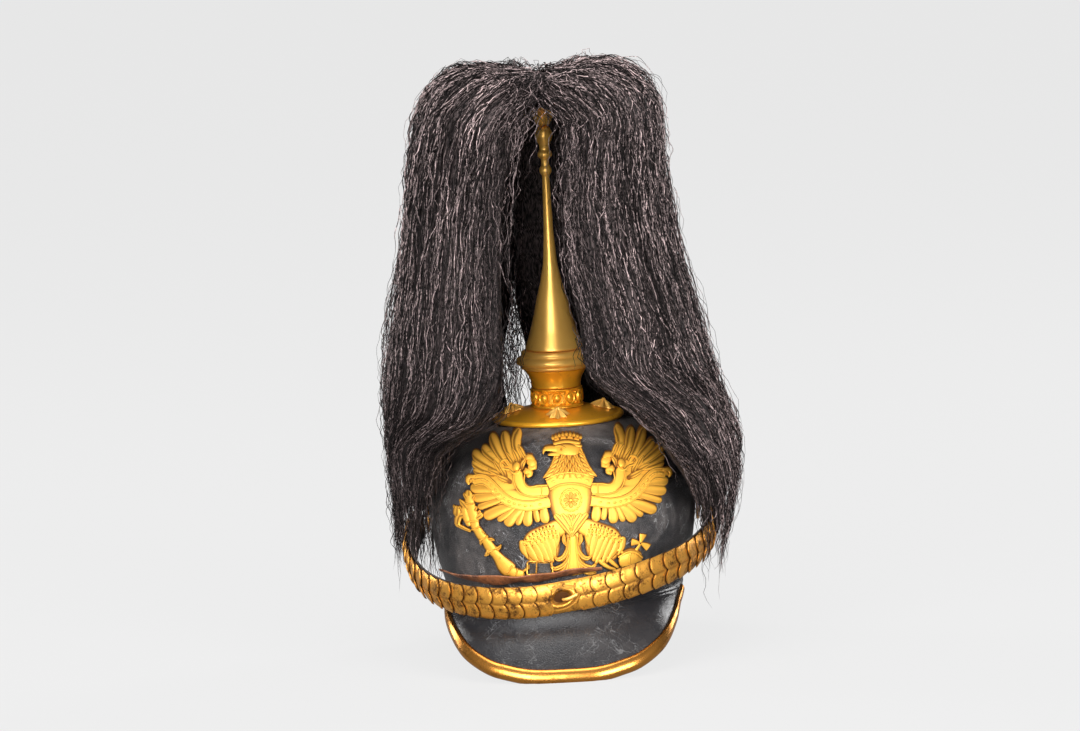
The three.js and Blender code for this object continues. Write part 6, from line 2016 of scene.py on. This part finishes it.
def left_over(first):
    """Length in millimetres from a row down to the hem."""
    return ROW_LENGTH[-1] - np.interp(first, ROW_KEYS, ROW_LENGTH)


def make_strands(name, lines, radius, tones, start):
    """One piece of hair, made of all the strands of one kind on one side."""
    body, values, uv = strand_bodies(lines, radius, tones, start)
    make_piece(name, body, HORSEHAIR, ["plume"], False, values, uv, crease=None)


print("strand functions ready")

# %% [markdown]
# Long strands run the whole way from the cup to the tips. They give the plume its flow, and
# some hang past the hem. They are darker than the shorter ones that lie over them.

# %% Plume: long strands
LONG_COUNT, LONG_POINTS = 250, 56
LONG_TONE = 0.55


def hair_tones_and_painted_light(draw, side, first, share):
    """Nearly half of the hairs are all but black, and the rest have tones up to 1.3.
    They carry painted light as well: palest on top, with painted shade low on the left and beside the
    parting."""
    count = len(first)
    tones = np.where(draw.random(count) < 0.45, 0.0, draw.uniform(0.15, 1.3, count))
    # Painted light and shade: by row and side, and darker towards the parting.
    painted_light_by_row = np.interp(first, LIGHT_AND_SHADE_ROWS, LIGHT_AND_SHADE_SHARES[side])
    return tones * painted_light_by_row * (0.55 + 0.45 * blend_step(0, 0.1, share))


for name, side in SIDES:
    draw = np.random.default_rng(40 + side)
    first = draw.uniform(0.15, 2.2, LONG_COUNT)
    reach = left_over(first) - 6 + draw.normal(0, 13, LONG_COUNT)
    depth = draw.uniform(-0.02, 0.3, LONG_COUNT)
    share = draw.uniform(-0.01, 1, LONG_COUNT)
    lines, start = hair_lines(side, draw, share, LONG_POINTS, first, reach, depth, 46,
                              (20, 36), (0.5, 1.4), stray=5.0)
    radius = taper(LONG_COUNT, LONG_POINTS, draw, (0.3, 0.5))
    tones = LONG_TONE * hair_tones_and_painted_light(draw, side, first + 5, share)
    make_strands(f"plume_{name}_long_strands", lines, radius, tones, start)

# %% [markdown]
# Short, tightly crimped strands cover the surface. They start anywhere, so that the eye can't
# follow a pattern, and they lie at slightly different depths.

# %% Plume: surface strands
SHORT_COUNT, SHORT_POINTS = 2100, 13
for name, side in SIDES:
    draw = np.random.default_rng(60 + side)
    first = draw.uniform(0.3, 14.3, SHORT_COUNT)
    reach = draw.uniform(20, 46, SHORT_COUNT)
    reach = np.minimum(reach, left_over(first) + draw.normal(4, 8, SHORT_COUNT))
    reach = np.maximum(reach, 12)
    depth = draw.uniform(-0.08, 0.3, SHORT_COUNT)
    inside = draw.random(SHORT_COUNT) < 0.08
    depth = np.where(inside, draw.uniform(0.9, 1.04, SHORT_COUNT), depth)
    share = draw.uniform(-0.015, 1.01, SHORT_COUNT)
    lines, start = hair_lines(side, draw, share, SHORT_POINTS, first, reach, depth, 60,
                              (9, 18), (0.3, 1.1), stray=7.0)
    radius = taper(SHORT_COUNT, SHORT_POINTS, draw, (0.2, 0.42))
    tones = hair_tones_and_painted_light(draw, side, first, share)
    make_strands(f"plume_{name}_surface_strands", lines, radius, tones, start)

# %% [markdown]
# Three sets of hairs soften the edges. A fringe falls from the top over the cup. Edge hairs
# wander across the parting, and a thin lace of hair hangs in the slit at the back, where the
# light comes through.

# %% Plume: fringe, edge and lace hairs
EDGE_POINTS = 24
FRINGE, EDGE, LACE = 50, 120, 45


def spread_draw(draw, sets):
    """Random numbers for several sets in a row, each given as (count, low, high)."""
    return np.concatenate([draw.uniform(low, high, count) for count, low, high in sets])


for name, side in SIDES:
    draw = np.random.default_rng(100 + side)
    count = FRINGE + EDGE + LACE
    over = -0.06 if side < 0 else -0.015
    share = spread_draw(draw, [(FRINGE, -0.1, 0.14), (EDGE, over, 0.04), (LACE, 0.985, 1.05)])
    first = spread_draw(draw, [(FRINGE, 0.6, 3.6), (EDGE, 3.5, 12.5), (LACE, 6.5, 9.8)])
    reach = spread_draw(draw, [(FRINGE, 35, 85), (EDGE, 40, 120), (LACE, 60, 150)])
    depth = spread_draw(draw, [(FRINGE, -0.1, 0.5), (EDGE, -0.1, 0.9), (LACE, 0, 1)])
    lines, start = hair_lines(side, draw, share, EDGE_POINTS, first, reach, depth, 400,
                              (11, 22), (0.6, 2.0), draw.uniform(0, 2.5, count))
    radius = taper(count, EDGE_POINTS, draw, (0.17, 0.36))
    tones = hair_tones_and_painted_light(draw, side, first, share)
    make_strands(f"plume_{name}_parting_hairs", lines, radius, tones, start)

# %% [markdown]
# Last come the hairs that escape: thin, curly, and lifted off the surface in an arc. They
# break the plume's outline.

# %% Plume: loose hairs
LOOSE_COUNT, LOOSE_POINTS, LOOSE_TONE = 430, 14, 0.6
for name, side in SIDES:
    draw = np.random.default_rng(80 + side)
    first = 14.0 * draw.random(LOOSE_COUNT) ** 0.7 + 0.8
    reach = draw.uniform(25, 70, LOOSE_COUNT)
    reach = np.minimum(reach, left_over(first) + draw.uniform(0, 12, LOOSE_COUNT))
    lift = draw.uniform(0.5, 3.6, LOOSE_COUNT) * draw.choice([1, 1.5], LOOSE_COUNT)
    share = draw.uniform(0, 1, LOOSE_COUNT)
    lines, start = hair_lines(side, draw, share, LOOSE_POINTS, first, reach,
                              draw.uniform(-0.06, 0.05, LOOSE_COUNT), 300, (10, 18),
                              (0.5, 1.3), lift, 6.0)
    radius = taper(LOOSE_COUNT, LOOSE_POINTS, draw, (0.13, 0.24))
    tones = LOOSE_TONE * hair_tones_and_painted_light(draw, side, first, share)
    make_strands(f"plume_{name}_loose_hairs", lines, radius, tones, start)
